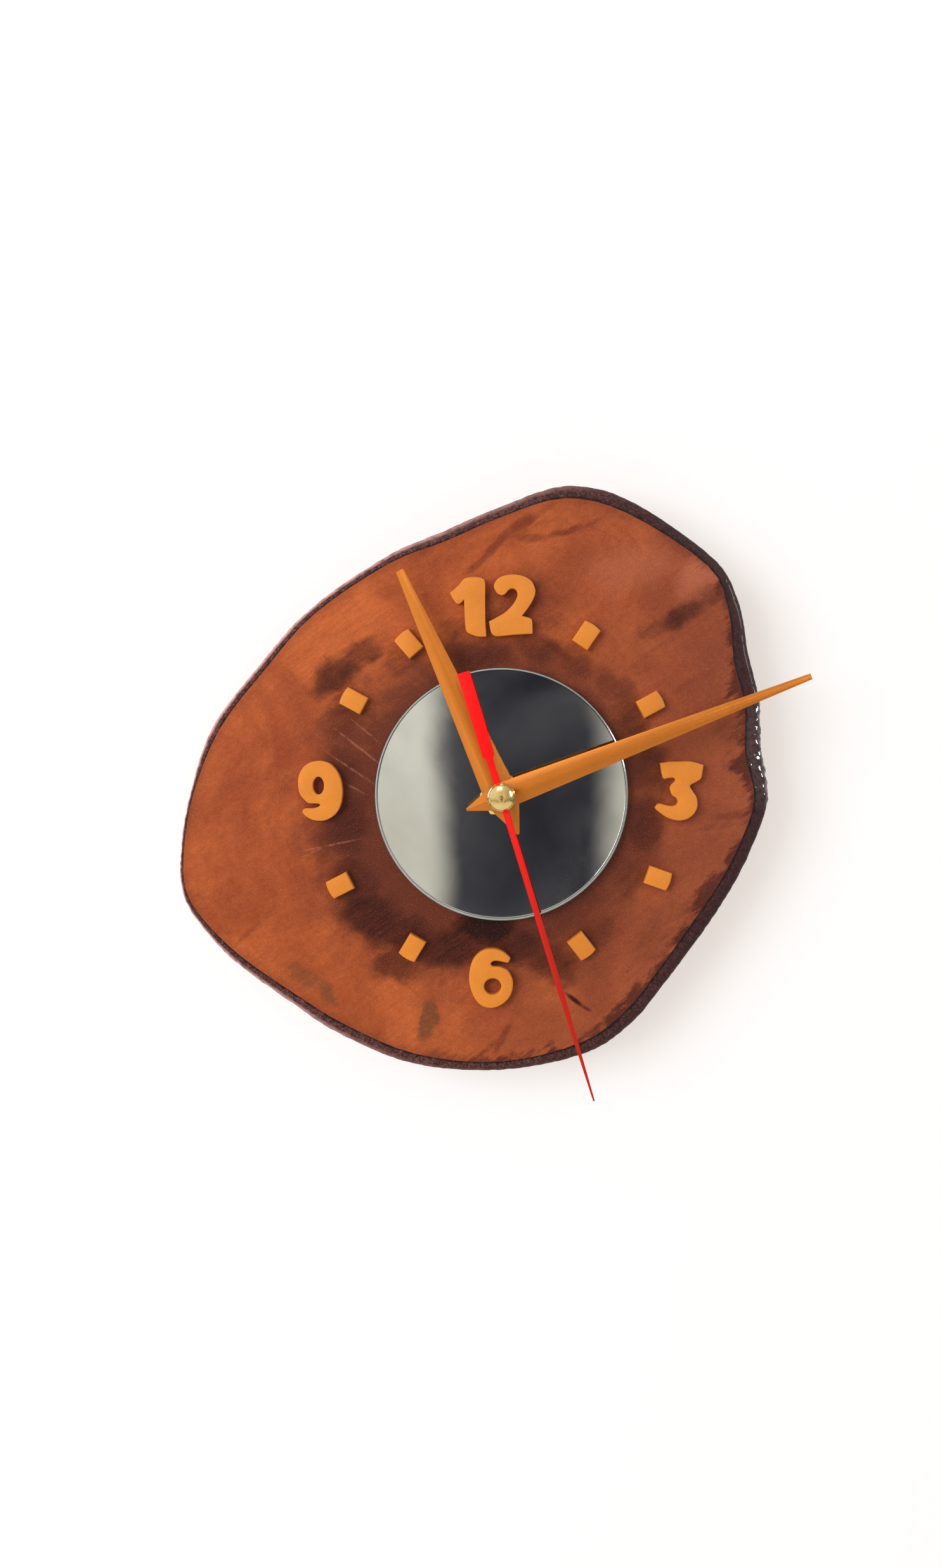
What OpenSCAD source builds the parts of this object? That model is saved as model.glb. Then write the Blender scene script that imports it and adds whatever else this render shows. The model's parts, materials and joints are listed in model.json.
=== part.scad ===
// Wall clock made from a slice of a log with its bark on. A round mirror is glued to the
// middle of the dial, the numerals and markers are raised, and a quartz movement sits in a
// pocket routed into the back.
//
// Every piece is drawn on the dial first: x to the right, y up and z from the wall towards
// the viewer, with the hands' arbor at x = 0 and y = 0. upright() then stands it up: +Z is
// up, the dial faces -Y, and the origin is the middle of the hole that the nail goes through.

/* [Slice of wood] */
// Mean distance from the arbor to the outside of the bark
slice_r = 86; // [84:0.5:92]
// Thickness of the slice
slice_t = 22; // [22:0.5:30]
// Rounding of the bark's front edge
bark_round = 2.6; // [1:0.1:4]
// Rounding of the bark's back edge
bark_back_round = 1.2; // [0.4:0.1:2]

/* [Pocket for the movement] */
// Wood left between the pocket and the dial's face
web_t = 4.8; // [4:0.1:4.8]
// Gap between the movement and the pocket's walls
pocket_gap = 2; // [1.2:0.1:4]
// Corner radius that the cutter leaves
pocket_corner_r = 5; // [3:0.5:6]
// Room in the pocket above the nail hole, for the nail's head
nail_room = 11; // [8:0.5:13]

/* [Mirror] */
// Diameter of the mirror
mirror_d = 76.2; // [70:0.2:84]
// Thickness of the mirror
mirror_t = 3; // [2:0.5:5]
// Width of the polished chamfer round its front
mirror_bevel = 0.8; // [0.3:0.1:1.4]
// Diameter of the adhesive pad behind it
pad_d = 60; // [40:1:68]
// Thickness of the adhesive pad
pad_t = 0.5; // [0.3:0.1:1]

/* [Numerals and markers] */
// Distance from the arbor to the middle of each numeral
numeral_r = 55; // [54:0.5:58]
// Height of a numeral
numeral_h = 18.2; // [14:0.2:19]
// Thickness of the numerals and markers
numeral_t = 2.5; // [1.5:0.1:3]
// Distance from the arbor to the middle of the markers
marker_r = 53.7; // [52:0.1:57]
// Length of a marker, along the dial's radius
marker_l = 7.4; // [5:0.1:9]
// Width of a marker
marker_w = 5.6; // [4:0.1:7]
// How far a marker's outer end bows out
marker_bow = 0.4; // [0.1:0.05:1]

/* [Time shown] */
// Hour
show_hour = 11; // [0:1:11]
// Minute
show_minute = 11; // [0:1:59]
// Second
show_second = 27; // [0:1:59]
// Degrees by which the second hand was pressed on past its mark
second_set = 1; // [-3:0.5:3]

/* [Hands] */
// Thickness of the hands' sheet metal
hand_t = 0.4; // [0.3:0.05:0.6]
// Slope of each half of the hour and minute hands from the ridge down
hand_fold = 12; // [6:1:16]
// Hour hand from the arbor to its tip
hour_l = 73; // [50:1:76]
// Hour hand's width at the boss
hour_w = 10; // [8:0.5:11]
// Hour hand's width at its tip
hour_tip_w = 2.4; // [1:0.1:4]
// Hour hand's tail
hour_tail = 12.5; // [8:0.5:15]
// Minute hand from the arbor to its tip
minute_l = 97; // [60:1:100]
// Minute hand's width at the boss
minute_w = 8; // [7:0.5:10]
// Minute hand's width at its tip
minute_tip_w = 1.8; // [1:0.1:3]
// Minute hand's tail
minute_tail = 11; // [8:0.5:14]
// Second hand from the arbor to its tip
second_l = 94; // [60:1:100]
// Width of its needle at the arbor
second_w = 1.9; // [1.5:0.1:2.4]
// Width of its tip
second_tip_w = 0.5; // [0.3:0.1:1]
// Second hand's tail
second_tail = 38; // [24:1:44]
// Width of the balance bar at the end of the tail
second_bar_w = 3.8; // [2.6:0.1:5]
// Where the balance bar starts
second_bar_from = 11.5; // [9:0.5:16]
// Diameter of the domed cap
cap_d = 8.4; // [7:0.1:10]
// Height of the domed cap
cap_h = 3; // [2:0.1:4.5]

/* [Movement case] */
// Side of the square case
case_w = 56; // [55.6:0.2:60]
// Depth of the case, from its front to the back of the setting knob
case_d = 15.6; // [15.4:0.1:16]
// Wall of the case
case_wall = 1.4; // [1.2:0.1:1.6]
// Corner radius of the case
case_corner_r = 3; // [1:0.5:4]
// Thickness of the back cover
cover_t = 1.2; // [1:0.1:1.6]
// Radius of the hole that the nail goes through
nail_hole_r = 3.2; // [2.5:0.1:4]
// Distance from the arbor to the nail hole
nail_hole_y = 33.6; // [33:0.1:36]
// Thickness of the hanger plate
hanger_t = 2; // [1.5:0.1:3]

/* [Bushing, nut and washers] */
// Thickness of the rubber washer
rubber_t = 1; // [0.5:0.1:1.2]
// Diameter of the rubber washer
rubber_d = 18; // [14:0.5:24]
// Diameter of the bushing's thread
thread_d = 8; // [7.6:0.1:9]
// Pitch of the thread
thread_pitch = 0.75; // [0.5:0.05:1]
// Thickness of the brass washer
washer_t = 0.5; // [0.3:0.1:1]
// Diameter of the brass washer
washer_d = 11; // [10:0.5:14]
// Width of the hexagon nut across its flats
nut_w = 11.2; // [10.5:0.1:13]
// Thickness of the hexagon nut
nut_t = 2.4; // [1.8:0.1:3.5]

/* [Battery] */
// Diameter of the battery
battery_d = 14.2; // [13.8:0.1:14.4]
// Length of the battery with its button
battery_l = 50.5; // [49:0.1:51.5]
// Diameter of its button
button_d = 5.5; // [4:0.1:6]
// Height of its button
button_h = 1.2; // [1:0.1:1.6]

/* [Gear train] */
// Module of the going train's teeth
train_m = 0.25; // [0.245:0.001:0.255]
// Module of the teeth between the minute hand and the setting knob
work_m = 0.375; // [0.37:0.001:0.38]
// Thickness of a wheel
wheel_t = 0.9; // [0.7:0.05:1]
// Gap between wheels that pass each other
wheel_gap = 0.4; // [0.3:0.05:0.5]
// How far a pinion reaches past the wheel that it meshes with
pinion_over = 0.25; // [0.1:0.05:0.3]
// Radius of the wheels' arbors
arbor_r = 0.5; // [0.45:0.01:0.55]
// Radius of the pivots at their ends
pivot_r = 0.35; // [0.25:0.01:0.4]
// Running clearance between a shaft and its hole
run_gap = 0.06; // [0.04:0.01:0.09]

/* [Motor and circuit] */
// Radius of the rotor's magnet
magnet_r = 2.4; // [2:0.1:2.6]
// Thickness of the rotor's magnet
magnet_t = 2.4; // [1.6:0.1:2.6]
// Air gap between the magnet and the stator
air_gap = 0.5; // [0.3:0.05:0.7]
// Thickness of the stator's plates
stator_t = 1; // [0.6:0.1:1.2]
// Length of the coil's winding
coil_l = 20; // [16:0.5:21]
// Outer radius of the coil's winding
coil_r = 3.2; // [2.6:0.1:3.2]
// Thickness of the circuit board
board_t = 0.8; // [0.6:0.1:1]

/* [Hidden] */

// A tiny extra length, so that a cut passes right through
eps = 0.1;

// Heights above the wall, from the back of the dial to its front
web_back = slice_t - web_t;
case_z = web_back - rubber_t;
mirror_back = slice_t + pad_t;
mirror_front = mirror_back + mirror_t;
nut_back = mirror_front + washer_t;
nut_front = nut_back + nut_t;
thread_show = 0.5;
bushing_front = nut_front + thread_show;

// The hands one above the other, with air between them
hand_air = 0.6;
tube_show = 0.2;
boss_t = 1;
boss_r = 5;
hand_nut_t = 1.2;
hand_nut_r = 2.9;
socket_l = 1.2;
hour_ridge = hour_w / 2 * tan(hand_fold) + hand_t;
hour_boss_z = bushing_front + hand_air;
hour_tube_front = hour_boss_z + boss_t + tube_show;
minute_boss_z = hour_boss_z + max(boss_t + tube_show, hour_ridge) + hand_air;
minute_tube_front = minute_boss_z + boss_t + hand_nut_t + tube_show;
second_blade_z = minute_tube_front + tube_show + socket_l;
arbor_front = second_blade_z + hand_t + 0.8;

// Radii of the nested tubes at the arbor, each running inside the next
minute_tube_in = arbor_r + run_gap;
minute_tube_r = 1.5;
hour_tube_in = minute_tube_r + run_gap;
hour_tube_r = 2.5;
bushing_in = hour_tube_r + run_gap;
thread_r = thread_d / 2;
bushing_root_r = thread_r - 0.4;
thread_gap = 0.3;

// Hands' angles, clockwise from 12
minute_angle = 6 * (show_minute + show_second / 60);
hour_angle = 30 * show_hour + minute_angle / 12;
second_angle = 6 * show_second + second_set;

// Outside of the slice: angle clockwise from 12, distance past the mean radius, bark's width
SLICE = [
    [0, 1, 3.6], [12, 9, 4.2], [24, 10.5, 4.2], [42, 9.5, 3.2], [51, 6, 4.4], [60, 0, 5.4],
    [70, -3, 5], [80, -6, 5.4], [91, -5, 4.6], [102, -8, 4.4], [112, -10, 4.6],
    [124, -11.2, 4.8], [138, -9.5, 4.6], [150, -5, 4.6], [162, -1.8, 4.2], [180, -0.5, 3.2],
    [198, 2, 3.8], [214, 3.7, 4], [226, 6, 3.6], [238, 11.5, 3.2], [247, 15.4, 2.2],
    [253, 16.5, 1.4], [260, 13.8, 1.2], [270, 9.2, 1.2], [283, 4.6, 2.6], [298, -2.4, 2.6],
    [314, -5.2, 2.2], [334, -6, 2.6], [348, -4.4, 3.4]
];
slice_steps = 4;

// Numerals drawn in millimetres about their own middles at the height drawn_h.
// A third value of 1 marks a corner: the outline is smooth through the other points.
drawn_h = 18.2;
numeral_steps = 3;
ONE = [
    [-1, 8.4], [2.2, 8.8], [4.2, 8.4], [5.1, 7.2], [5.1, 1.8], [5.2, -4.7], [5.5, -8.9, 1],
    [3, -8.9], [1, -8.3], [-0.5, -7.3], [-0.9, -4.7], [-1.1, -0.3], [-1.2, 2.1, 1],
    [-2.6, 0.9], [-3.8, 1.3], [-5.5, 4.1, 1], [-2.8, 6.4]
];
TWO = [
    [-5.5, 5.9], [-5, 7.2], [-3.7, 8.4], [-1.5, 9.1], [1.1, 9.2], [3.7, 8.6], [5.7, 7.3],
    [6.7, 5.4], [6.9, 3.7], [6.1, 1.5], [4.8, -0.6], [2.9, -3.1, 1], [5.2, -3.7], [6, -4.7],
    [6.1, -8.4, 1], [1.1, -8.6], [-3.9, -9.1], [-5.4, -8.9], [-6.4, -7.7], [-6.9, -4.7, 1],
    [-2.8, -2.5], [-0.8, -0.8], [0.5, 0.7], [1.3, 2.2], [1.6, 3.5], [1.1, 4.7], [0, 5.1],
    [-1.1, 4.7], [-2.1, 3.5], [-3.2, 3.1], [-4.4, 3.7], [-5.2, 4.8]
];
THREE = [
    [-5.8, 8.4, 1], [-3.3, 8.8], [0.2, 8.9], [3.6, 8.9], [7.2, 7.9, 1], [6.9, 5.7],
    [6.5, 3.8], [5, 2.7], [3.2, 1.6], [4, 0], [5.1, -1.6], [5.5, -3.5], [5.3, -5.4],
    [4.2, -7.2], [2.5, -8.4], [0.5, -8.9], [-1.6, -8.7], [-3.8, -7.9], [-5.7, -6.6],
    [-7.2, -5.2], [-6.7, -4.2], [-5.6, -3.8], [-3.8, -4.3], [-1.9, -4.5], [-0.7, -4],
    [-0.4, -3], [-0.9, -2.1], [-2, -1.4], [-2.6, -0.2], [-2.8, 1.1], [-2.3, 2.1],
    [-1.4, 2.9], [-1.3, 3.6], [-2.2, 4], [-3.6, 3.8], [-5, 4]
];
SIX = [
    [0.3, 9.1], [2.1, 8.9], [4, 8], [5.9, 6.3, 1], [5.2, 4.9], [3.6, 5.1], [2, 5.4],
    [0.6, 5.3], [-0.1, 4.4], [0.6, 3.7], [2.1, 3.6], [3.6, 3.3], [5.1, 2.4], [6.1, 0.8],
    [6.7, -1.2], [6.5, -3.5], [5.7, -5.6], [4.2, -7.3], [2.4, -8.5], [0.3, -9.1],
    [-1.6, -8.9], [-3.3, -8.1], [-4.9, -6.3], [-6, -3.9], [-6.6, -1.4], [-6.7, 0.9],
    [-6.3, 3.5], [-5.4, 5.8], [-3.9, 7.6], [-1.9, 8.8]
];
SIX_HOLE = [0.5, -2.5, 2.6, 2.5];
NINE = [
    [-0.7, 9.1], [1.3, 8.9], [3.2, 8.1], [4.7, 6.5], [5.8, 4.6], [6.5, 2.2], [6.7, -0.5],
    [6.4, -3.2], [5.5, -5.7], [3.9, -7.6], [1.8, -8.8], [-0.3, -9.1], [-2.4, -8.8],
    [-4.3, -7.8], [-5.4, -6.7], [-5.3, -5.7], [-4.3, -5.3], [-2.4, -5.3], [-0.8, -4.9],
    [-0.1, -4.3], [-0.6, -3.9], [-2.2, -3.8], [-3.6, -3.7], [-4.9, -2.7], [-6.2, -1],
    [-6.7, 1.1], [-6.7, 3.5], [-6.1, 5.7], [-4.8, 7.5], [-2.9, 8.7]
];
NINE_HOLE = [-0.6, 1.6, 1.7, 2.7];

// Where the numerals were glued: from the arbor, with the hand-placed slips of a millimetre
PLACE_1 = [-10, numeral_r + 1.4];
PLACE_2 = [3.2, numeral_r + 1.7];
PLACE_3 = [numeral_r - 1.5, 1.2];
PLACE_6 = [-3, -numeral_r - 1];
PLACE_9 = [-numeral_r + 0.3, 1.1];

// Markers: angle clockwise from 12, slip outwards, angle that the marker itself was turned to
MARKERS = [
    [28, 0.6, 34], [58.7, -1.2, 61.5], [118, 0.1, 109.6], [152, -1.5, 142],
    [210, 0.4, 210.5], [240.5, 2.7, 243], [302.5, -0.8, 298.3], [328.5, -0.3, 319]
];

// Teeth of the wheels and pinions
rotor_n = 8;
inter_wheel_n = 48;
inter_pinion_n = 12;
seconds_n = 60;
seconds_pinion_n = 8;
third_n = 60;
third_pinion_n = 8;
centre_n = 64;
cannon_n = 12;
minute_n = 36;
minute_pinion_n = 10;
hour_n = 40;
knob_n = 12;

// Tooth shape, in modules, and as shares of half a pitch
tooth_add = 0.9;
tooth_ded = 1.25;
tooth_root = 1.2;
tooth_tip = 0.42;

// Centre distances, and the modules that fit between the same centres
inter_dist = train_m * (seconds_n + inter_pinion_n) / 2;
rotor_dist = train_m * (inter_wheel_n + rotor_n) / 2;
third_dist = train_m * (third_n + seconds_pinion_n) / 2;
centre_m = 2 * third_dist / (third_pinion_n + centre_n);
minute_dist = work_m * (cannon_n + minute_n) / 2;
hour_m = 2 * minute_dist / (minute_pinion_n + hour_n);
knob_dist = work_m * (minute_n + knob_n) / 2;

// Where the wheels stand round the arbor, and the directions from one to the next
inter_dir = 90;
rotor_dir = 150;
third_dir = 180;
minute_dir = 0;
knob_dir = 45;
CENTRE = [0, 0];
INTER = inter_dist * [cos(inter_dir), sin(inter_dir)];
ROTOR = INTER + rotor_dist * [cos(rotor_dir), sin(rotor_dir)];
THIRD = third_dist * [cos(third_dir), sin(third_dir)];
MINUTE = minute_dist * [cos(minute_dir), sin(minute_dir)];
KNOB = MINUTE + knob_dist * [cos(knob_dir), sin(knob_dir)];

// Turn of each wheel about its own arbor, so that the teeth are in mesh
inter_phase = mesh_phase(inter_dir, 0, seconds_n, inter_pinion_n);
rotor_phase = mesh_phase(rotor_dir, 0, inter_wheel_n, rotor_n);
third_phase = mesh_phase(third_dir, 0, seconds_pinion_n, third_n);
centre_phase = mesh_phase(third_dir + 180, 0, third_pinion_n, centre_n);
minute_phase = mesh_phase(minute_dir, 0, cannon_n, minute_n);
hour_phase = mesh_phase(minute_dir + 180, 0, minute_pinion_n, hour_n);
knob_phase = mesh_phase(knob_dir, minute_phase, minute_n, knob_n);

// Levels inside the case, measured back from the case's front face
inner_z = -case_wall;
hour_z = inner_z - wheel_gap - wheel_t;
cannon_top = hour_z - wheel_gap;
minute_z = cannon_top - pinion_over - wheel_t;
cannon_z = minute_z - pinion_over;
centre_z = cannon_z - wheel_gap - wheel_t;
tube_z = centre_z - pinion_over;
third_z = tube_z - wheel_gap - wheel_t;
seconds_pinion_top = third_z + wheel_t + pinion_over;
seconds_z = third_z - wheel_gap - wheel_t;
inter_z = seconds_z - wheel_gap - wheel_t;
rotor_pinion_top = inter_z + wheel_t + pinion_over;
magnet_lift = 0.2;
magnet_z = rotor_pinion_top + magnet_lift;
stator_z = magnet_z + magnet_t / 2 - stator_t / 2;
core_t = 1.4;
core_z = stator_z + stator_t;
knob_head_t = 1.8;
knob_lift = 0.2;
cover_back = -case_d + knob_head_t + knob_lift;
cover_in = cover_back + cover_t;
chip_t = 0.7;
chip_gap = 0.3;
board_z = cover_in + chip_gap + chip_t;

// Plan of the case: the bay for the battery below, the chamber for the wheels above
half_w = case_w / 2;
half_in = half_w - case_wall;
bay_gap = 0.2;
bay_wall = 1;
battery_y = -half_in + bay_gap + battery_d / 2;
battery_z = -bay_wall - bay_gap - battery_d / 2;
bay_top = battery_y + battery_d / 2 + bay_gap;
chamber_y = bay_top + case_wall;
end_play = 0.15;
pivot_l = 0.8;
pivot_hole = 0.9;

// Strips that carry the current from the battery's ends to the board
strip_t = 0.4;
strip_w = 6;
strip_z = battery_z - strip_w / 2;
strip_top = 20;
strip_foot = battery_y - 4.5;
half_strip = half_in - strip_t;
slot_gap = 0.1;
leaf_rise = 2 * half_strip - battery_l;
leaf_half = 4;

// Motor: the coil lies across the top of the chamber
flange_t = 0.8;
flange_r = coil_r + 0.4;
coil_y = half_in - flange_r - slot_gap;
core_half = 17.2;
core_w = 3;
pad_half = 2.5;
post_x = core_half - pad_half;
post_r = 2;
screw_r = 0.6;
screw_head_r = 1.5;
screw_head_t = 0.7;
screw_bite = 2;
pilot_extra = 1;
bobbin_r = 2;
coil_z = core_z + core_t / 2;
stator_slit = 0.4;
stator_rim = 1.2;
board_post_x = 23.5;
board_post_r = 1.5;
board_h = 9.2;
board_top = half_in - 0.4;
board_bottom = board_top - board_h;

// The cover's snap tabs on the case's sides
tab_w = 6;
tab_t = 0.7;
tab_l = 4.6;
tab_bump = 0.5;
tab_bump_h = 0.8;
TAB_Y = [4, 19];

// Hanger on top of the case
hanger_half = 8;
hanger_wall = 1.6;
hanger_rim = 2.4;
hanger_top = nail_hole_y + nail_hole_r + hanger_rim;
gusset_l = 6;

// The pocket's outline, with room above the hanger
pocket_half = half_w + pocket_gap;
pocket_top = nail_hole_y + nail_room;
pocket_bottom = -half_w - pocket_gap;

// Places and outlines

// Point at a distance and at an angle clockwise from 12
function clock_point(r, a) = [r * sin(a), r * cos(a)];

// Tangent of a closed outline at its point i: none at a corner
function tangent(p, i) =
    let (n = len(p), a = p[(i + n - 1) % n], b = p[(i + 1) % n])
    p[i][2] == 1 ? [0, 0] : [b[0] - a[0], b[1] - a[1]] / 2;

// Point on the cubic from a to b with the end tangents ta and tb
function cubic(a, b, ta, tb, t) =
    (2 * pow(t, 3) - 3 * pow(t, 2) + 1) * a + (pow(t, 3) - 2 * pow(t, 2) + t) * ta
    + (3 * pow(t, 2) - 2 * pow(t, 3)) * b + (pow(t, 3) - pow(t, 2)) * tb;

// Closed outline that runs smoothly through the points p, with n steps between each two
function smooth(p, n) = [
    for (i = [0 : len(p) - 1], k = [0 : n - 1])
    let (j = (i + 1) % len(p), a = [p[i][0], p[i][1]], b = [p[j][0], p[j][1]])
    cubic(a, b, tangent(p, i), tangent(p, j), k / n)
];

// Ellipse given as [x, y, half width, half height]
function ellipse(e, n) = [
    for (i = [0 : n - 1]) [e[0] + e[2] * cos(360 * i / n), e[1] + e[3] * sin(360 * i / n)]
];

// Rectangle from corner a to corner b, with rounded corners of radius r
function rounded(a, b, r) = let (n = 6) [
    for (q = [0 : 3], i = [0 : n])
    let (
        x = q == 0 || q == 3 ? b[0] - r : a[0] + r,
        y = q < 2 ? b[1] - r : a[1] + r,
        t = 90 * (q + i / n)
    )
    [x + r * cos(t), y + r * sin(t)]
];

// Outline of a gear of n teeth of module m
function gear_points(n, m, phase) =
    let (pitch_r = n * m / 2, tip_r = pitch_r + tooth_add * m, root_r = pitch_r - tooth_ded * m)
    let (half = 90 / n)
    [
        for (i = [0 : n - 1])
        let (a = phase + 360 * i / n)
        for (c = [
            [root_r, -tooth_root], [tip_r, -tooth_tip], [tip_r, tooth_tip], [root_r, tooth_root]
        ])
        c[0] * [cos(a + c[1] * half), sin(a + c[1] * half)]
    ];

// Turn of a wheel of nb teeth that stands at angle dir from a wheel of na teeth turned by pa
function mesh_phase(dir, pa, na, nb) = dir + 180 - 180 / nb + (dir - pa) * na / nb;

// The slice's outline outside and inside the bark
outside = smooth([for (s = SLICE) clock_point(slice_r + s[1], s[0])], slice_steps);
wood_edge = smooth([for (s = SLICE) clock_point(slice_r + s[1] - s[2], s[0])], slice_steps);

// Section of the bark at step i: up its inner wall, over the rounded front, down the outside
function bark_section(i) =
    let (
        a = wood_edge[i],
        across = outside[i] - a,
        w = norm(across),
        u = across / w,
        rf = min(bark_round, 0.8 * w),
        rb = min(bark_back_round, 0.5 * w)
    )
    [
        for (c = [
            [0, 0], [0, slice_t], [w - rf, slice_t], [w - 0.5 * rf, slice_t - 0.13 * rf],
            [w - 0.13 * rf, slice_t - 0.5 * rf], [w, slice_t - rf], [w, rb],
            [w - 0.3 * rb, 0.3 * rb], [w - rb, 0]
        ])
        [a[0] + u[0] * c[0], a[1] + u[1] * c[0], c[1]]
    ];

// Section of a folded hand at distance y, with its ridge up and half its width w
function hand_section(y, w) =
    let (ridge = w * tan(hand_fold))
    [
        [w, y, 0], [0, y, ridge], [-w, y, 0],
        [-w, y, -hand_t], [0, y, ridge - hand_t], [w, y, -hand_t]
    ];

// Two triangles for each side between ring i and the next one
function side_faces(rings, points, closed) = [
    for (i = [0 : rings - (closed ? 1 : 2)], j = [0 : points - 1])
    let (
        a = i * points + j,
        b = i * points + (j + 1) % points,
        c = ((i + 1) % rings) * points + (j + 1) % points,
        d = ((i + 1) % rings) * points + j
    )
    each [[a, b, c], [a, c, d]]
];

// Building blocks

// Stands the clock up, with the nail hole's middle at the origin
module upright() {
    rotate([90, 0, 0])
        translate([0, -nail_hole_y, -(case_z + cover_back + hanger_t / 2)])
            children();
}

// Measures from the case's front face
module in_case() {
    translate([0, 0, case_z]) children();
}

// Turns a hand drawn at 12 to the angle that it shows
module at_angle(a) {
    rotate([0, 0, -a]) children();
}

// Ring-shaped or solid disc from z0 to z1
module disc(r, z0, z1, hole = 0) {
    difference() {
        translate([0, 0, z0]) cylinder(r = r, h = z1 - z0, $fn = 64);
        if (hole > 0)
            translate([0, 0, z0 - eps]) cylinder(r = hole, h = z1 - z0 + 2 * eps, $fn = 64);
    }
}

// Prism on an outline from z0 to z1
module prism(points, z0, z1) {
    translate([0, 0, z0]) linear_extrude(z1 - z0) polygon(points);
}

// Box between two corners
module box(a, b) {
    translate(a) cube(b - a);
}

// Solid through a row of hand sections, with its two ends closed
module hand_loft(rings) {
    k = len(rings[0]);
    last = (len(rings) - 1) * k;
    polyhedron(
        points = [for (r = rings) each r],
        faces = concat(
            side_faces(len(rings), k, false),
            [[5, 4, 1, 0], [4, 3, 2, 1]],
            [for (f = [[0, 1, 4, 5], [1, 2, 3, 4]]) [for (j = f) last + j]]
        )
    );
}

// Solid through rings of points that close on themselves
module ring_loft(rings) {
    polyhedron(
        points = [for (r = rings) each r],
        faces = side_faces(len(rings), len(rings[0]), true)
    );
}

module gear(n, m, z0, z1, phase) {
    prism(gear_points(n, m, phase), z0, z1);
}

// Arbor with a pivot at each end, between the cover and the case's front
module pivoted_arbor() {
    z0 = cover_in + end_play;
    z1 = inner_z - end_play;
    disc(arbor_r, z0, z1);
    disc(pivot_r, z0 - pivot_l, z1 + pivot_l);
}

module at_place(p) {
    translate([p[0], p[1], 0]) children();
}

// Holes for the pivots of the wheels, from z0 to z1
module pivot_holes(places, z0, z1) {
    for (p = places)
        at_place(p) disc(pivot_r + run_gap, z0, z1);
}

// A numeral cut from sheet, standing on the wood's face
module numeral(points, place) {
    k = numeral_h / drawn_h;
    prism([for (p = smooth(points, numeral_steps)) place + k * p], slice_t, slice_t + numeral_t);
}

module numeral_hole(e, place) {
    k = numeral_h / drawn_h;
    prism([for (p = ellipse(e, 28)) place + k * p], slice_t - eps, slice_t + numeral_t + eps);
}

// A folded blade drawn at 12, with its edges at height z
module folded_blade(length, w, tip_w, tail, z) {
    translate([0, 0, z + hand_t])
        hand_loft([
            hand_section(-tail, 0.35), hand_section(-0.32 * tail, 0.4 * w),
            hand_section(0.1 * tail, w / 2), hand_section(length, tip_w / 2)
        ]);
}

// The dial

module wood_slice() upright() color("sienna") {
    difference() {
        prism(wood_edge, 0, slice_t);
        prism(
            rounded([-pocket_half, pocket_bottom], [pocket_half, pocket_top], pocket_corner_r),
            -eps, web_back
        );
        disc(thread_r + thread_gap, 0, slice_t + eps);
    }
}

module bark_ring() upright() color("#46302c") {
    ring_loft([for (i = [0 : len(outside) - 1]) bark_section(i)]);
}

module mirror() upright() color("lightsteelblue") {
    difference() {
        union() {
            disc(mirror_d / 2, mirror_back, mirror_front - mirror_bevel);
            translate([0, 0, mirror_front - mirror_bevel])
                cylinder(
                    r1 = mirror_d / 2, r2 = mirror_d / 2 - mirror_bevel, h = mirror_bevel, $fn = 96
                );
        }
        disc(thread_r + thread_gap, mirror_back - eps, mirror_front + eps);
    }
}

module mirror_adhesive() upright() color("whitesmoke") {
    disc(pad_d / 2, slice_t, mirror_back, thread_r + 3 * thread_gap);
}

module numeral_12() upright() color("#e8983a") {
    numeral(ONE, PLACE_1);
    numeral(TWO, PLACE_2);
}

module numeral_3() upright() color("#e8983a") {
    numeral(THREE, PLACE_3);
}

module numeral_6() upright() color("#e8983a") {
    difference() {
        numeral(SIX, PLACE_6);
        numeral_hole(SIX_HOLE, PLACE_6);
    }
}

module numeral_9() upright() color("#e8983a") {
    difference() {
        numeral(NINE, PLACE_9);
        numeral_hole(NINE_HOLE, PLACE_9);
    }
}

// Marker outline: a rectangle whose outer end bows out
marker_bow_n = 6;
marker_outline = concat(
    [[-marker_w / 2, -marker_l / 2], [marker_w / 2, -marker_l / 2]],
    [
        for (i = [0 : marker_bow_n])
        let (s = 1 - 2 * i / marker_bow_n)
        [s * marker_w / 2, marker_l / 2 - marker_bow * s * s]
    ]
);

module hour_markers() upright() color("#e8983a") {
    for (m = MARKERS)
        at_place(clock_point(marker_r + m[1], m[0]))
            at_angle(m[2])
                prism(marker_outline, slice_t, slice_t + numeral_t);
}

// What clamps the movement to the dial

module rubber_washer() upright() color("#202020") {
    disc(rubber_d / 2, case_z, web_back, thread_r + thread_gap);
}

module brass_washer() upright() color("gold") {
    disc(washer_d / 2, mirror_front, nut_back, thread_r + thread_gap / 2);
}

module fixing_nut() upright() color("gold") {
    difference() {
        translate([0, 0, nut_back]) cylinder(d = nut_w / cos(30), h = nut_t, $fn = 6);
        disc(thread_r, nut_back - eps, nut_front + eps);
    }
}

// Brass bushing with ring-shaped thread grooves, held in the case's front wall
module threaded_bushing() upright() color("goldenrod") {
    groove = 0.25;
    turns = floor((bushing_front - case_z - 1) / thread_pitch);
    z_top = bushing_front;
    rotate_extrude($fn = 64)
        polygon(concat(
            [[bushing_in, case_z - case_wall], [bushing_root_r, case_z - case_wall]],
            [[bushing_root_r, case_z], [thread_r, case_z]],
            [
                for (i = [0 : turns - 1])
                let (z = z_top - (turns - i) * thread_pitch)
                each [
                    [thread_r, z], [thread_r - groove, z + thread_pitch / 4],
                    [thread_r, z + thread_pitch / 2]
                ]
            ],
            [[thread_r, z_top], [bushing_in, z_top]]
        ));
}

// The movement's case

case_outline = rounded([-half_w, -half_w], [half_w, half_w], case_corner_r);
WHEEL_PLACES = [INTER, ROTOR, THIRD, MINUTE, KNOB];

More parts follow.
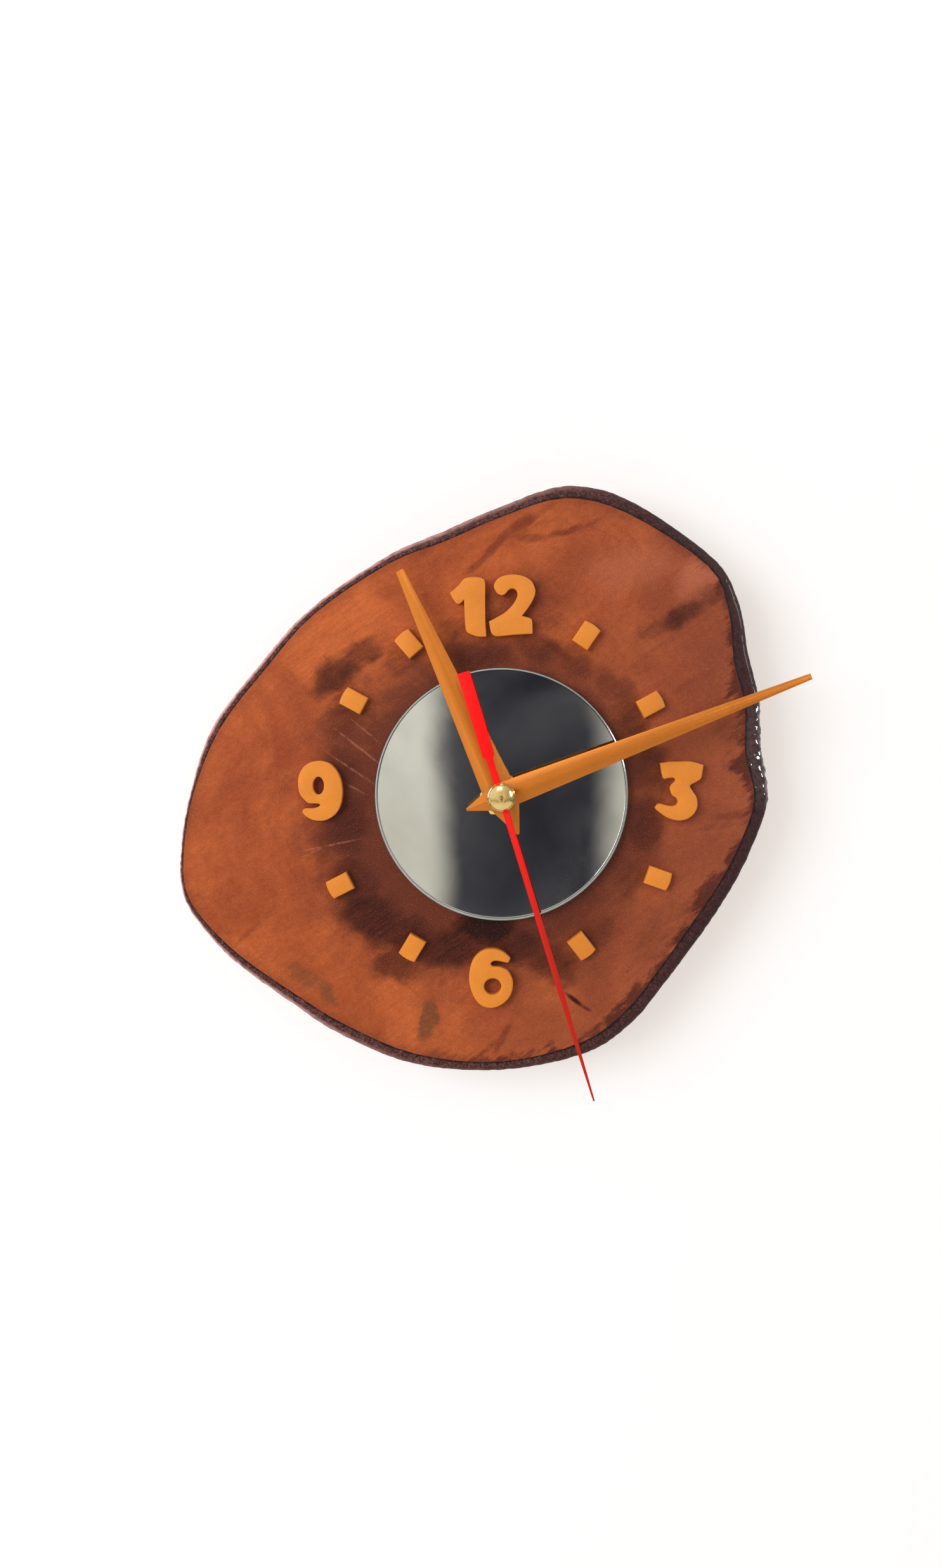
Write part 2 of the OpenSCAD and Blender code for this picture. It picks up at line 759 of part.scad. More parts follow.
module hanger_loop() {
    difference() {
        union() {
            box([-hanger_half, half_w - case_wall, cover_back],
                [hanger_half, hanger_top, cover_back + hanger_t]);
            for (side = [-1, 1])
                translate([side * (hanger_half - hanger_wall / 2), 0, 0])
                    translate([-hanger_wall / 2, 0, 0])
                        rotate([90, 0, 90])
                            linear_extrude(hanger_wall)
                                polygon([
                                    [half_w - case_wall, cover_back],
                                    [hanger_top, cover_back],
                                    [hanger_top, cover_back + hanger_t],
                                    [half_w, cover_back + gusset_l + hanger_t],
                                    [half_w - case_wall, cover_back + gusset_l + hanger_t]
                                ]);
        }
        at_place([0, nail_hole_y])
            disc(nail_hole_r, cover_back - eps, cover_back + hanger_t + eps);
    }
}

module movement_case() upright() color("#2b2d31") in_case() {
    difference() {
        union() {
            difference() {
                prism(case_outline, -case_d, 0);
                // Chamber for the wheels
                box([-half_in, chamber_y, -case_d - eps], [half_in, half_in, inner_z]);
                // Bay for the battery, open at the back
                box([-half_in, -half_in, -case_d - eps], [half_in, bay_top, -bay_wall]);
                // Seat for the back cover
                box([-half_w - eps, bay_top, -case_d - eps], [half_w + eps, half_w + eps, cover_in]);
            }
            // Posts for the coil's core and for the board
            for (side = [-1, 1]) {
                at_place([side * post_x, coil_y]) disc(post_r, core_z + core_t, inner_z + eps);
                at_place([side * board_post_x, coil_y])
                    disc(board_post_r, board_z + board_t, inner_z + eps);
            }
        }
        // Bushing's seat, pivots, pilot holes for the screws
        disc(bushing_root_r, inner_z - eps, eps);
        pivot_holes(WHEEL_PLACES, inner_z - eps, inner_z + pivot_hole);
        for (side = [-1, 1]) {
            at_place([side * post_x, coil_y])
                disc(screw_r, core_z, core_z + core_t + screw_bite + pilot_extra);
            // Slots that let the contact strips through the partition
            box([side * half_in - (side > 0 ? strip_t + slot_gap : 0), bay_top - eps, -case_d - eps],
                [side * half_in + (side > 0 ? 0 : strip_t + slot_gap), chamber_y + eps,
                    strip_z + strip_w + slot_gap]);
            // Recesses for the cover's tabs
            for (y = TAB_Y)
                box([side * half_w - tab_bump - slot_gap, y - tab_w / 2 - slot_gap,
                        cover_back + tab_l - tab_bump_h - 2 * slot_gap],
                    [side * half_w + tab_bump + slot_gap, y + tab_w / 2 + slot_gap,
                        cover_back + tab_l + slot_gap]);
        }
    }
    hanger();
}

// The hanger is moulded in one with the case's top wall, clear of the chamber and the cover
module hanger() {
    difference() {
        hanger_loop();
        box([-half_in, 0, cover_back - eps], [half_in, half_in, 0]);
        box([-half_w, 0, cover_back - eps], [half_w, half_w, cover_in]);
    }
}

module back_cover() upright() color("#35383d") in_case() {
    difference() {
        union() {
            prism(
                rounded([-half_w, bay_top], [half_w, half_w], case_corner_r), cover_back, cover_in
            );
            for (side = [-1, 1], y = TAB_Y) {
                box([side * (half_w + tab_t / 2) - tab_t / 2, y - tab_w / 2, cover_back],
                    [side * (half_w + tab_t / 2) + tab_t / 2, y + tab_w / 2, cover_back + tab_l]);
                box([side * (half_w - tab_bump / 2) - tab_bump / 2, y - tab_w / 2,
                        cover_back + tab_l - tab_bump_h],
                    [side * (half_w - tab_bump / 2) + tab_bump / 2, y + tab_w / 2,
                        cover_back + tab_l]);
            }
        }
        pivot_holes([CENTRE, INTER, ROTOR, THIRD, MINUTE], cover_in - pivot_hole, cover_in + eps);
        at_place(KNOB) disc(knob_shaft_r + run_gap, cover_back - eps, cover_in + eps);
    }
}

// The battery and the strips

module battery() upright() color("#b8b8b0") in_case() {
    translate([-half_strip + leaf_rise, battery_y, battery_z]) rotate([0, 90, 0]) {
        disc(battery_d / 2, 0, battery_l - button_h);
        disc(button_d / 2, battery_l - button_h - eps, battery_l);
    }
}

module positive_contact() upright() color("silver") in_case() {
    box([half_strip, strip_foot, strip_z], [half_in, strip_top, strip_z + strip_w]);
}

// The strip at the battery's flat end has a leaf that bows out and presses on the battery
module negative_contact() upright() color("silver") in_case() {
    box([-half_in, strip_foot, strip_z], [-half_strip, strip_top, strip_z + strip_w]);
    x0 = -half_strip;
    x1 = x0 + leaf_rise;
    prism([
        [x0 - strip_t / 2, battery_y - leaf_half], [x0, battery_y - leaf_half],
        [x1, battery_y - 0.8], [x1, battery_y + 0.8], [x0, battery_y + leaf_half],
        [x0 - strip_t / 2, battery_y + leaf_half], [x0, battery_y + leaf_half - strip_t],
        [x1 - strip_t, battery_y + 0.6], [x1 - strip_t, battery_y - 0.6],
        [x0, battery_y - leaf_half + strip_t]
    ], strip_z, strip_z + strip_w);
}

// The circuit

module circuit_board() upright() color("darkgreen") in_case() {
    prism(
        rounded([-half_strip, board_bottom], [half_strip, board_top], 0.6),
        board_z, board_z + board_t
    );
}

CHIP = [18, coil_y - 1.6];
chip_r = 2.3;
module driver_chip() upright() color("#151515") in_case() {
    at_place(CHIP) disc(chip_r, board_z - chip_t, board_z);
}

crystal_r = 0.95;
crystal_l = 6;
module quartz_crystal() upright() color("silver") in_case() {
    translate([CHIP[0] - crystal_l / 2, board_bottom + 1.6, board_z + board_t + crystal_r])
        rotate([0, 90, 0]) disc(crystal_r, 0, crystal_l);
}

// The motor

module along_coil() {
    translate([0, coil_y, coil_z]) rotate([0, 90, 0]) children();
}

module coil_bobbin() upright() color("ivory") in_case() {
    difference() {
        along_coil() {
            disc(bobbin_r, -coil_l / 2 - flange_t, coil_l / 2 + flange_t);
            for (side = [-1, 1])
                translate([0, 0, side * (coil_l + flange_t) / 2])
                    disc(flange_r, -flange_t / 2, flange_t / 2);
        }
        box([-core_half, coil_y - core_w / 2, core_z], [core_half, coil_y + core_w / 2, core_z + core_t]);
    }
}

module coil_winding() upright() color("#b5651d") in_case() {
    along_coil() disc(coil_r, -coil_l / 2, coil_l / 2, bobbin_r);
}

module coil_core() upright() color("slategray") in_case() {
    difference() {
        union() {
            box([-core_half, coil_y - core_w / 2, core_z],
                [core_half, coil_y + core_w / 2, core_z + core_t]);
            for (side = [-1, 1])
                box([side * post_x - pad_half, coil_y - pad_half, core_z],
                    [side * post_x + pad_half, coil_y + pad_half, core_z + core_t]);
        }
        for (side = [-1, 1])
            at_place([side * post_x, coil_y]) disc(screw_r, core_z - eps, core_z + core_t + eps);
    }
}

// Two soft-iron plates that lead the coil's field round the rotor, with a slit between them
module stator_plates() upright() color("gray") in_case() {
    rim = magnet_r + air_gap + stator_rim;
    x = ROTOR[0];
    y = ROTOR[1];
    pad_low = coil_y - pad_half;
    pad_high = coil_y + pad_half;
    pad_in = post_x - pad_half;
    difference() {
        union() {
            prism([
                [x - stator_slit / 2, y - rim], [x - 0.7 * rim, y - 0.8 * rim], [x - rim, y],
                [x - rim - 3, y + rim], [-core_half, pad_low], [-core_half, pad_high],
                [-pad_in, pad_high], [-pad_in, pad_low - 1], [x - 0.6 * rim, y + rim],
                [x - stator_slit / 2, y + rim]
            ], stator_z, core_z);
            prism([
                [x + stator_slit / 2, y - rim], [x + stator_slit / 2, y + rim],
                [x + 0.9 * rim, y + rim], [0, y + rim + 0.6], [pad_in, pad_low - 1.4],
                [pad_in, pad_high], [core_half, pad_high], [core_half, pad_low],
                [post_x - 1, y + rim], [x + 2.4 * rim, y + 0.3 * rim], [x + rim, y - 0.4 * rim],
                [x + 0.7 * rim, y - 0.85 * rim]
            ], stator_z, core_z);
        }
        at_place(ROTOR) disc(magnet_r + air_gap, stator_z - eps, core_z + eps);
        for (side = [-1, 1])
            at_place([side * post_x, coil_y]) disc(screw_r, stator_z - eps, core_z + eps);
    }
}

module stator_screws() upright() color("silver") in_case() {
    for (side = [-1, 1])
        at_place([side * post_x, coil_y]) {
            disc(screw_head_r, stator_z - screw_head_t, stator_z);
            disc(screw_r, stator_z - eps, core_z + core_t + screw_bite);
        }
}

module rotor_magnet() upright() color("dimgray") in_case() {
    at_place(ROTOR) disc(magnet_r, magnet_z, magnet_z + magnet_t, arbor_r);
}

module rotor_pinion() upright() color("white") in_case() {
    at_place(ROTOR) {
        pivoted_arbor();
        gear(rotor_n, train_m, inter_z - pinion_over, rotor_pinion_top, rotor_phase);
    }
}

// The going train, from the rotor down to the centre wheel

module intermediate_wheel() upright() color("white") in_case() {
    at_place(INTER) {
        pivoted_arbor();
        gear(inter_wheel_n, train_m, inter_z, inter_z + wheel_t, 0);
        gear(inter_pinion_n, train_m, inter_z + wheel_t - eps,
            seconds_z + wheel_t + pinion_over, inter_phase);
    }
}

module seconds_wheel() upright() color("white") in_case() {
    difference() {
        union() {
            gear(seconds_n, train_m, seconds_z, seconds_z + wheel_t, 0);
            gear(seconds_pinion_n, train_m, seconds_z + wheel_t - eps, seconds_pinion_top, 0);
        }
        disc(arbor_r, seconds_z - eps, seconds_pinion_top + eps);
    }
}

module second_arbor() upright() color("lightgray") {
    disc(arbor_r, case_z + cover_in + end_play, arbor_front);
    disc(pivot_r, case_z + cover_in + end_play - pivot_l, case_z + cover_in + 1);
}

module third_wheel() upright() color("white") in_case() {
    at_place(THIRD) {
        pivoted_arbor();
        gear(third_n, train_m, third_z, third_z + wheel_t, third_phase);
        gear(third_pinion_n, centre_m, third_z + wheel_t - eps,
            centre_z + wheel_t + pinion_over, 0);
    }
}

// The centre wheel turns on the cannon pinion's tube, which it drives by friction
module centre_wheel() upright() color("white") in_case() {
    difference() {
        gear(centre_n, centre_m, centre_z, centre_z + wheel_t, centre_phase);
        disc(minute_tube_r + run_gap, centre_z - eps, centre_z + wheel_t + eps);
    }
}

// The motion work, from the minute hand to the hour hand and the setting knob

module cannon_pinion() upright() color("white") {
    difference() {
        union() {
            disc(minute_tube_r, case_z + tube_z, minute_tube_front);
            gear(cannon_n, work_m, case_z + cannon_z, case_z + cannon_top, 0);
        }
        disc(minute_tube_in, case_z + tube_z - eps, minute_tube_front + eps);
    }
}

module minute_wheel() upright() color("white") in_case() {
    at_place(MINUTE) {
        pivoted_arbor();
        gear(minute_n, work_m, minute_z, minute_z + wheel_t, minute_phase);
        gear(minute_pinion_n, hour_m, minute_z + wheel_t - eps,
            inner_z - wheel_gap + pinion_over / 2, 0);
    }
}

module hour_wheel() upright() color("white") {
    difference() {
        union() {
            disc(hour_tube_r, case_z + hour_z, hour_tube_front);
            gear(hour_n, hour_m, case_z + hour_z, case_z + hour_z + wheel_t, hour_phase);
        }
        disc(hour_tube_in, case_z + hour_z - eps, hour_tube_front + eps);
    }
}

knob_shaft_r = 1.5;
knob_r = 6;
knob_flutes = 18;
knob_flute_depth = 0.35;
knob_outline = [
    for (i = [0 : 4 * knob_flutes - 1])
    let (a = 360 * i / (4 * knob_flutes), r = knob_r - (i % 4 < 2 ? 0 : knob_flute_depth))
    r * [cos(a), sin(a)]
];

module setting_knob() upright() color("#d8d8d0") in_case() {
    at_place(KNOB) {
        prism(knob_outline, -case_d, cover_back - knob_lift);
        disc(knob_shaft_r, cover_back - knob_lift - eps, cannon_z + eps);
        gear(knob_n, work_m, cannon_z, cannon_top, knob_phase);
        disc(arbor_r, cannon_top - eps, inner_z - end_play);
        disc(pivot_r, cannon_top - eps, inner_z - end_play + pivot_l);
    }
}

// The hands

module hour_hand() upright() color("#dc8a2a") at_angle(hour_angle) {
    difference() {
        union() {
            folded_blade(hour_l, hour_w, hour_tip_w, hour_tail, hour_boss_z);
            disc(boss_r, hour_boss_z, hour_boss_z + boss_t);
        }
        disc(hour_tube_r, hour_boss_z - eps, hour_boss_z + 3 * boss_t);
    }
}

module minute_hand() upright() color("#dc8a2a") at_angle(minute_angle) {
    difference() {
        union() {
            folded_blade(minute_l, minute_w, minute_tip_w, minute_tail, minute_boss_z);
            disc(0.8 * boss_r, minute_boss_z, minute_boss_z + boss_t);
        }
        disc(minute_tube_r, minute_boss_z - eps, minute_boss_z + 3 * boss_t);
        // The ridge is pressed flat under the nut
        disc(hand_nut_r + thread_gap, minute_boss_z + boss_t, minute_boss_z + 3 * boss_t);
    }
}

module minute_hand_nut() upright() color("gold") {
    disc(hand_nut_r, minute_boss_z + boss_t, minute_boss_z + boss_t + hand_nut_t, minute_tube_r);
}

module second_hand() upright() color("red") at_angle(second_angle) {
    neck = 0.55 * second_bar_w / 2;
    bar = second_bar_w / 2;
    taper_from = 0.65 * second_l;
    taper_w = 0.9 * second_w / 2;
    difference() {
        prism([
            [bar, -second_tail], [0.96 * bar, -second_bar_from - 1.2], [neck, -second_bar_from],
            [second_w / 2, -1], [second_w / 2, 1], [taper_w, taper_from],
            [second_tip_w / 2, second_l], [-second_tip_w / 2, second_l], [-taper_w, taper_from],
            [-second_w / 2, 1], [-second_w / 2, -1], [-neck, -second_bar_from],
            [-0.96 * bar, -second_bar_from - 1.2], [-bar, -second_tail]
        ], second_blade_z, second_blade_z + hand_t);
        disc(arbor_r, second_blade_z - eps, second_blade_z + hand_t + eps);
    }
}

socket_r = 0.85;
module second_hand_socket() upright() color("silver") {
    disc(socket_r, second_blade_z - socket_l, second_blade_z, arbor_r);
}

// Turned brass cap with a domed top and a foot, on the end of the arbor
module hub_cap() upright() color("gold") {
    z0 = second_blade_z + hand_t;
    r = cap_d / 2;
    foot = 0.25 * cap_h;
    steps = 10;
    difference() {
        rotate_extrude($fn = 64)
            polygon(concat(
                [[0, z0], [r, z0], [r, z0 + foot]],
                [
                    for (i = [1 : steps])
                    [0.95 * r * cos(90 * i / steps), z0 + foot + (cap_h - foot) * sin(90 * i / steps)]
                ]
            ));
        disc(arbor_r, z0 - eps, arbor_front);
    }
}

wood_slice();
bark_ring();
mirror();
mirror_adhesive();
numeral_12();
numeral_3();
numeral_6();
numeral_9();
hour_markers();
rubber_washer();
brass_washer();
fixing_nut();
threaded_bushing();
movement_case();
back_cover();
battery();
positive_contact();
negative_contact();
circuit_board();
driver_chip();
quartz_crystal();
coil_bobbin();
coil_winding();
coil_core();
stator_plates();
stator_screws();
rotor_magnet();
rotor_pinion();
intermediate_wheel();
seconds_wheel();
second_arbor();
third_wheel();
centre_wheel();
cannon_pinion();
minute_wheel();
hour_wheel();
setting_knob();
hour_hand();
minute_hand();
minute_hand_nut();
second_hand();
second_hand_socket();
hub_cap();
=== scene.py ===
# %% [markdown]
# # A wall clock cut from a log
#
# This lesson dresses a clock made from a slice of a log. Its exact solids come from a CAD
# model, and they already stand in the right places. What is missing is everything that the
# eye reads as wood, bark, glass, paint and brass.
#
# The first cell loads the solids. Each of them is called a node, and each node rides on a
# body that can turn, such as the hours or the minutes.

# %% Load the solids
import json
import math
from types import SimpleNamespace

import bmesh
import bpy
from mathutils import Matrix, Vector


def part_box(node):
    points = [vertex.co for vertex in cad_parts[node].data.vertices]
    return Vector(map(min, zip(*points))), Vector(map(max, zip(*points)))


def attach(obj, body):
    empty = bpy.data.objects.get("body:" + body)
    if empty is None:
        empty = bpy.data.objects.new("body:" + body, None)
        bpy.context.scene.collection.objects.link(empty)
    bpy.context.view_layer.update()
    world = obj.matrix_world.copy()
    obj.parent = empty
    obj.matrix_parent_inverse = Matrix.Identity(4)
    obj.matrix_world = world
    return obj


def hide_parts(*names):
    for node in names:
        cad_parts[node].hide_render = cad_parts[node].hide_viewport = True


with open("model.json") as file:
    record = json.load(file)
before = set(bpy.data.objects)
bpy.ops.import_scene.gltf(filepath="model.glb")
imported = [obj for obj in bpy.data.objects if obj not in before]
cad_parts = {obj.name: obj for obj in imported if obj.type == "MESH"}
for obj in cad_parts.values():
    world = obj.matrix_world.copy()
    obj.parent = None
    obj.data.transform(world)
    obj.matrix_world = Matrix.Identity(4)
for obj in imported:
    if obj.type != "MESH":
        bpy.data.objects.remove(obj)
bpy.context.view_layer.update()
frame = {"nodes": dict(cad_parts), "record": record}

MM = 0.001

# %% [markdown]
# ## Places on the dial
#
# A clockmaker measures from the arbor that carries the hands: so far to the right, so far up,
# and so far out from the wall. Blender's axes stand differently, with Z up and the dial
# facing -Y, so one small function turns the clockmaker's millimetres into Blender's metres,
# and another reads a solid's box the other way round. The arbor and the wall are taken from
# the solids, which keeps the two models together.

# %% Measure the dial
cap_low, cap_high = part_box("hub_cap")
ARBOR = (cap_low + cap_high) / 2
FACE_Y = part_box("wood_slice")[0].y
WALL_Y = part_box("wood_slice")[1].y
FACE = (WALL_Y - FACE_Y) / MM


def on_dial(x, y, z):
    """A place in millimetres from the arbor and out from the wall, as Blender sees it."""
    return Vector((ARBOR.x + x * MM, WALL_Y - z * MM, ARBOR.z + y * MM))


def extent(box):
    """Where a box lies, in the clockmaker's millimetres."""
    low, high = box
    return SimpleNamespace(
        left=(low.x - ARBOR.x) / MM, right=(high.x - ARBOR.x) / MM,
        bottom=(low.z - ARBOR.z) / MM, top=(high.z - ARBOR.z) / MM,
        back=(WALL_Y - high.y) / MM, front=(WALL_Y - low.y) / MM,
    )


print(f"the dial's face is {FACE:.1f} mm from the wall")

# %% [markdown]
# ## The camera
#
# The photograph was taken from very near, with a phone's wide lens: the hands stand out from
# the dial, and they are seen a little from above and from the left. The camera gets that
# lens and that place. Its long side counts for the lens, as the picture is upright.

# %% Set up the camera
LENS, SENSOR = 27.15, 36
CAMERA_PLACE = (-0.0005, -0.3769, -0.0118)
LOOK_DOWN, LOOK_LEFT = 2.98, 1.41
camera_data = bpy.data.cameras.new("camera")
camera_data.lens = LENS
camera_data.sensor_width = SENSOR
camera_data.clip_start = 0.01
camera = bpy.data.objects.new("camera", camera_data)
bpy.context.scene.collection.objects.link(camera)
camera.location = CAMERA_PLACE
camera.rotation_euler = (math.radians(90 - LOOK_DOWN), 0, math.radians(LOOK_LEFT))
bpy.context.scene.camera = camera
bpy.context.scene.view_settings.view_transform = "Standard"
print("camera", round((camera.location - ARBOR).length / MM), "mm from the arbor")

# %% [markdown]
# ## Helpers for node trees
#
# Every finish here is a tree of small nodes. Written out in full, each node takes three or
# four lines, so these helpers add a node and join its inputs in one go. An input may be given
# as a plain value or as the output of another node. The first few do sums on numbers.


# %% Helpers for sums
def put(tree, kind, inputs=None, **settings):
    """Adds a node. Its inputs are given by name or number, as values or as outputs to join."""
    made = tree.nodes.new(kind)
    for name, value in settings.items():
        setattr(made, name, value)
    for name, value in (inputs or {}).items():
        if isinstance(value, bpy.types.NodeSocket):
            tree.links.new(value, made.inputs[name])
        else:
            made.inputs[name].default_value = value
    return made


def calc(tree, operation, *values, clamp=False):
    """One sum on numbers, such as DIVIDE, POWER or SQRT."""
    inputs = dict(enumerate(values))
    return put(tree, "ShaderNodeMath", inputs, operation=operation, use_clamp=clamp).outputs[0]


def vector_calc(tree, operation, *values):
    inputs = dict(enumerate(values))
    return put(tree, "ShaderNodeVectorMath", inputs, operation=operation).outputs[0]


def chained(tree, operation, values):
    """Works through a row of numbers from left to right."""
    result = values[0]
    for value in values[1:]:
        result = calc(tree, operation, result, value)
    return result


def plus(tree, *values):
    return chained(tree, "ADD", values)


def times(tree, *values):
    return chained(tree, "MULTIPLY", values)


def minus(tree, value, less):
    return calc(tree, "SUBTRACT", value, less)


def swing(tree, noise, reach, middle=0.5):
    """Noise as a push either way: nothing at its middle, and up to half the reach."""
    return times(tree, minus(tree, noise, middle), reach)


def blend(tree, *shares):
    """The sum of (value, weight) pairs."""
    return plus(tree, *[times(tree, value, weight) for value, weight in shares])


def between(tree, value, low, high, to_low=0.0, to_high=1.0):
    """A soft step: to_low below low, to_high above high."""
    inputs = {0: value, 1: low, 2: high, 3: to_low, 4: to_high}
    made = put(tree, "ShaderNodeMapRange", inputs, interpolation_type="SMOOTHSTEP")
    return made.outputs[0]


print("helpers for sums")

# %% [markdown]
# These work on places and colours. A pattern is noise that is laid on a place, and a colour is
# built up as paint is: a first coat, and then thin coats over it, each with its own mask.


# %% Helpers for patterns and colours
def parts(tree, vector):
    return put(tree, "ShaderNodeSeparateXYZ", {0: vector}).outputs


def off_axis(tree, place):
    """How far a place lies from the axis that it is measured from."""
    flat = vector_calc(tree, "MULTIPLY", place, (1, 1, 0))
    return put(tree, "ShaderNodeVectorMath", {0: flat}, operation="LENGTH").outputs["Value"]


def mottle(tree, place, scale, detail=4.0, rough=0.55, warp=0.0, seed=0.0):
    """Soft noise from 0 to 1. The seed moves the pattern, so each use can differ."""
    if seed:
        place = vector_calc(tree, "ADD", place, (37.0 * seed, 11.0 * seed, 5.0 * seed))
    inputs = {"Vector": place, "Scale": scale, "Detail": detail, "Roughness": rough}
    inputs["Distortion"] = warp
    return put(tree, "ShaderNodeTexNoise", inputs).outputs[0]


def drawn_out(tree, place, degrees, length, width):
    """Makes a pattern streaky: its grains are this long and wide, and lie at this angle."""
    inputs = {"Vector": place, "Angle": math.radians(-degrees)}
    lying = put(tree, "ShaderNodeVectorRotate", inputs, rotation_type="Z_AXIS").outputs[0]
    return vector_calc(tree, "MULTIPLY", lying, (1 / length, 1 / width, 1 / width))


def wobbled(tree, place, scale, reach, detail, rough=0.5):
    """Shifts each place a little, so that the edges of what is laid there wander."""
    inputs = {"Vector": place, "Scale": scale, "Detail": detail, "Roughness": rough}
    noise = put(tree, "ShaderNodeTexNoise", inputs).outputs["Color"]
    push = vector_calc(tree, "SUBTRACT", noise, (0.5, 0.5, 0.5))
    push = vector_calc(tree, "MULTIPLY", push, (reach, reach, 0.0))
    return vector_calc(tree, "ADD", place, push)


def rgb(red, green, blue):
    """A colour as a paint program shows it, 0 to 255, as the straight values of a shader."""
    return tuple((c / 255) ** 2.2 for c in (red, green, blue)) + (1.0,)


def tint(tree, share, first, second):
    """Mixes two colours."""
    return put(tree, "ShaderNodeMix", {0: share, 6: first, 7: second}, data_type="RGBA").outputs[2]


def coats(tree, colour, *layers):
    """Lays coats over a colour, one after the other. Each is (mask, strength, colour)."""
    for mask, strength, over in layers:
        share = mask if strength == 1 else times(tree, mask, strength)
        colour = tint(tree, share, colour, over)
    return colour


def relief(tree, height, depth_mm, strength):
    """Turns a height into a normal, for detail too fine to model."""
    inputs = {"Height": height, "Distance": depth_mm * MM, "Strength": strength}
    return put(tree, "ShaderNodeBump", inputs).outputs[0]


print("helpers for patterns and colours")

# %% [markdown]
# ## Light, wall and room
#
# The clock hangs on a pale wall in daylight from the left. One large lamp stands in for the
# window, so that the shadows fall softly to the right and a little down. What shines on
# varnish and brass is tuned apart from that: three weaker lamps, at the window, high up and
# on the right, are seen only in gloss. The last lamp stands behind the wall and models the
# clock's back.


# %% Light the room
def lamp(name, place, energy, size):
    """A square lamp that faces the arbor."""
    data = bpy.data.lights.new(name, "AREA")
    data.energy = energy
    data.size = size
    made = bpy.data.objects.new(name, data)
    bpy.context.scene.collection.objects.link(made)
    made.location = place
    made.rotation_euler = (ARBOR - Vector(place)).to_track_quat("-Z", "Y").to_euler()
    return made


WINDOW, WINDOW_SIZE = (-0.95, -1.1, 0.28), 0.85
daylight = lamp("daylight", WINDOW, 15.5, WINDOW_SIZE)
daylight.data.color = (0.97, 1.0, 1.1)
daylight.visible_glossy = False
for name, place, energy, size in (
    ("window_sheen", WINDOW, 5, WINDOW_SIZE),
    ("high_sheen", (-0.2, -0.9, 1.1), 5.5, 0.6),
    ("right_glint", (1.08, -0.5, 0.33), 15, 0.34),
):
    lamp(name, place, energy, size).visible_diffuse = False
lamp("behind", (0.4, 1.25, 0.6), 7, 0.5)
print(len(bpy.data.lights), "lamps")

# %% [markdown]
# The world fills in the rest, brighter on the window's side. A mirror shows whatever is in
# front of it, so the room before the clock matters too: the mirror faces a dim doorway
# between pale walls. Gloss sees the room darken downwards, as a floor would be, and the
# camera sees a plain pale background.

# %% Build the room
world = bpy.data.worlds.new("room")
bpy.context.scene.world = world
world.use_nodes = True
room = world.node_tree
room.nodes.clear()
look = put(room, "ShaderNodeTexCoord").outputs["Generated"]
rays = put(room, "ShaderNodeLightPath").outputs
haze = mottle(room, look, 6.0, 4.0, 0.55, 0.8)
across, ahead, up = parts(room, look)
in_front = between(room, ahead, -0.97, -0.86, 1.0, 0.0)
shifted = plus(room, across, swing(room, haze, 0.05))
left_jamb = between(room, shifted, -0.062, -0.03)
right_jamb = between(room, shifted, 0.07, 0.112, 1.0, 0.0)
lintel = between(room, up, 0.05, 0.1, 1.0, 0.0)
doorway = times(room, left_jamb, right_jamb, lintel, in_front)
patches = between(room, haze, 0.3, 0.7)
room_wall = tint(room, patches, (0.67, 0.56, 0.49, 1), (0.95, 0.83, 0.73, 1))
dim = tint(room, patches, (0.028, 0.025, 0.033, 1), (0.1, 0.085, 0.095, 1))
window_side = between(room, minus(room, times(room, up, 0.5), across), -0.8, 0.7)
around = tint(room, window_side, (0.42, 0.4, 0.4, 1), (0.9, 0.91, 0.93, 1))
dim_below = times(room, between(room, up, -0.55, 0.0, 0.75, 0.0), rays["Is Glossy Ray"])
seen = coats(
    room, around,
    (dim_below, 1, (0.1, 0.09, 0.09, 1)),
    (in_front, 1, room_wall),
    (doorway, 1, dim),
)
lit = put(room, "ShaderNodeBackground", {"Color": seen, "Strength": 1.0}).outputs[0]
pale = put(room, "ShaderNodeBackground", {"Color": (0.93, 0.925, 0.92, 1), "Strength": 1.0})
both = put(room, "ShaderNodeMixShader", {0: rays["Is Camera Ray"], 1: lit, 2: pale.outputs[0]})
put(room, "ShaderNodeOutputWorld", {"Surface": both.outputs[0]})
print("a room of", len(room.nodes), "nodes")

# %% [markdown]
# The wall is a plain sheet with a little plaster texture. It is see-through from behind, so
# that the clock's back can be looked at too, and it doesn't hold back the light that falls on
# that back. A pale floor lies far below.


# %% Make the wall and the floor
def sheet(name, corners, material):
    mesh = bpy.data.meshes.new(name)
    mesh.from_pydata(corners, [], [(0, 1, 2, 3)])
    piece = bpy.data.objects.new(name, mesh)
    bpy.context.scene.collection.objects.link(piece)
    mesh.materials.append(material)
    return piece


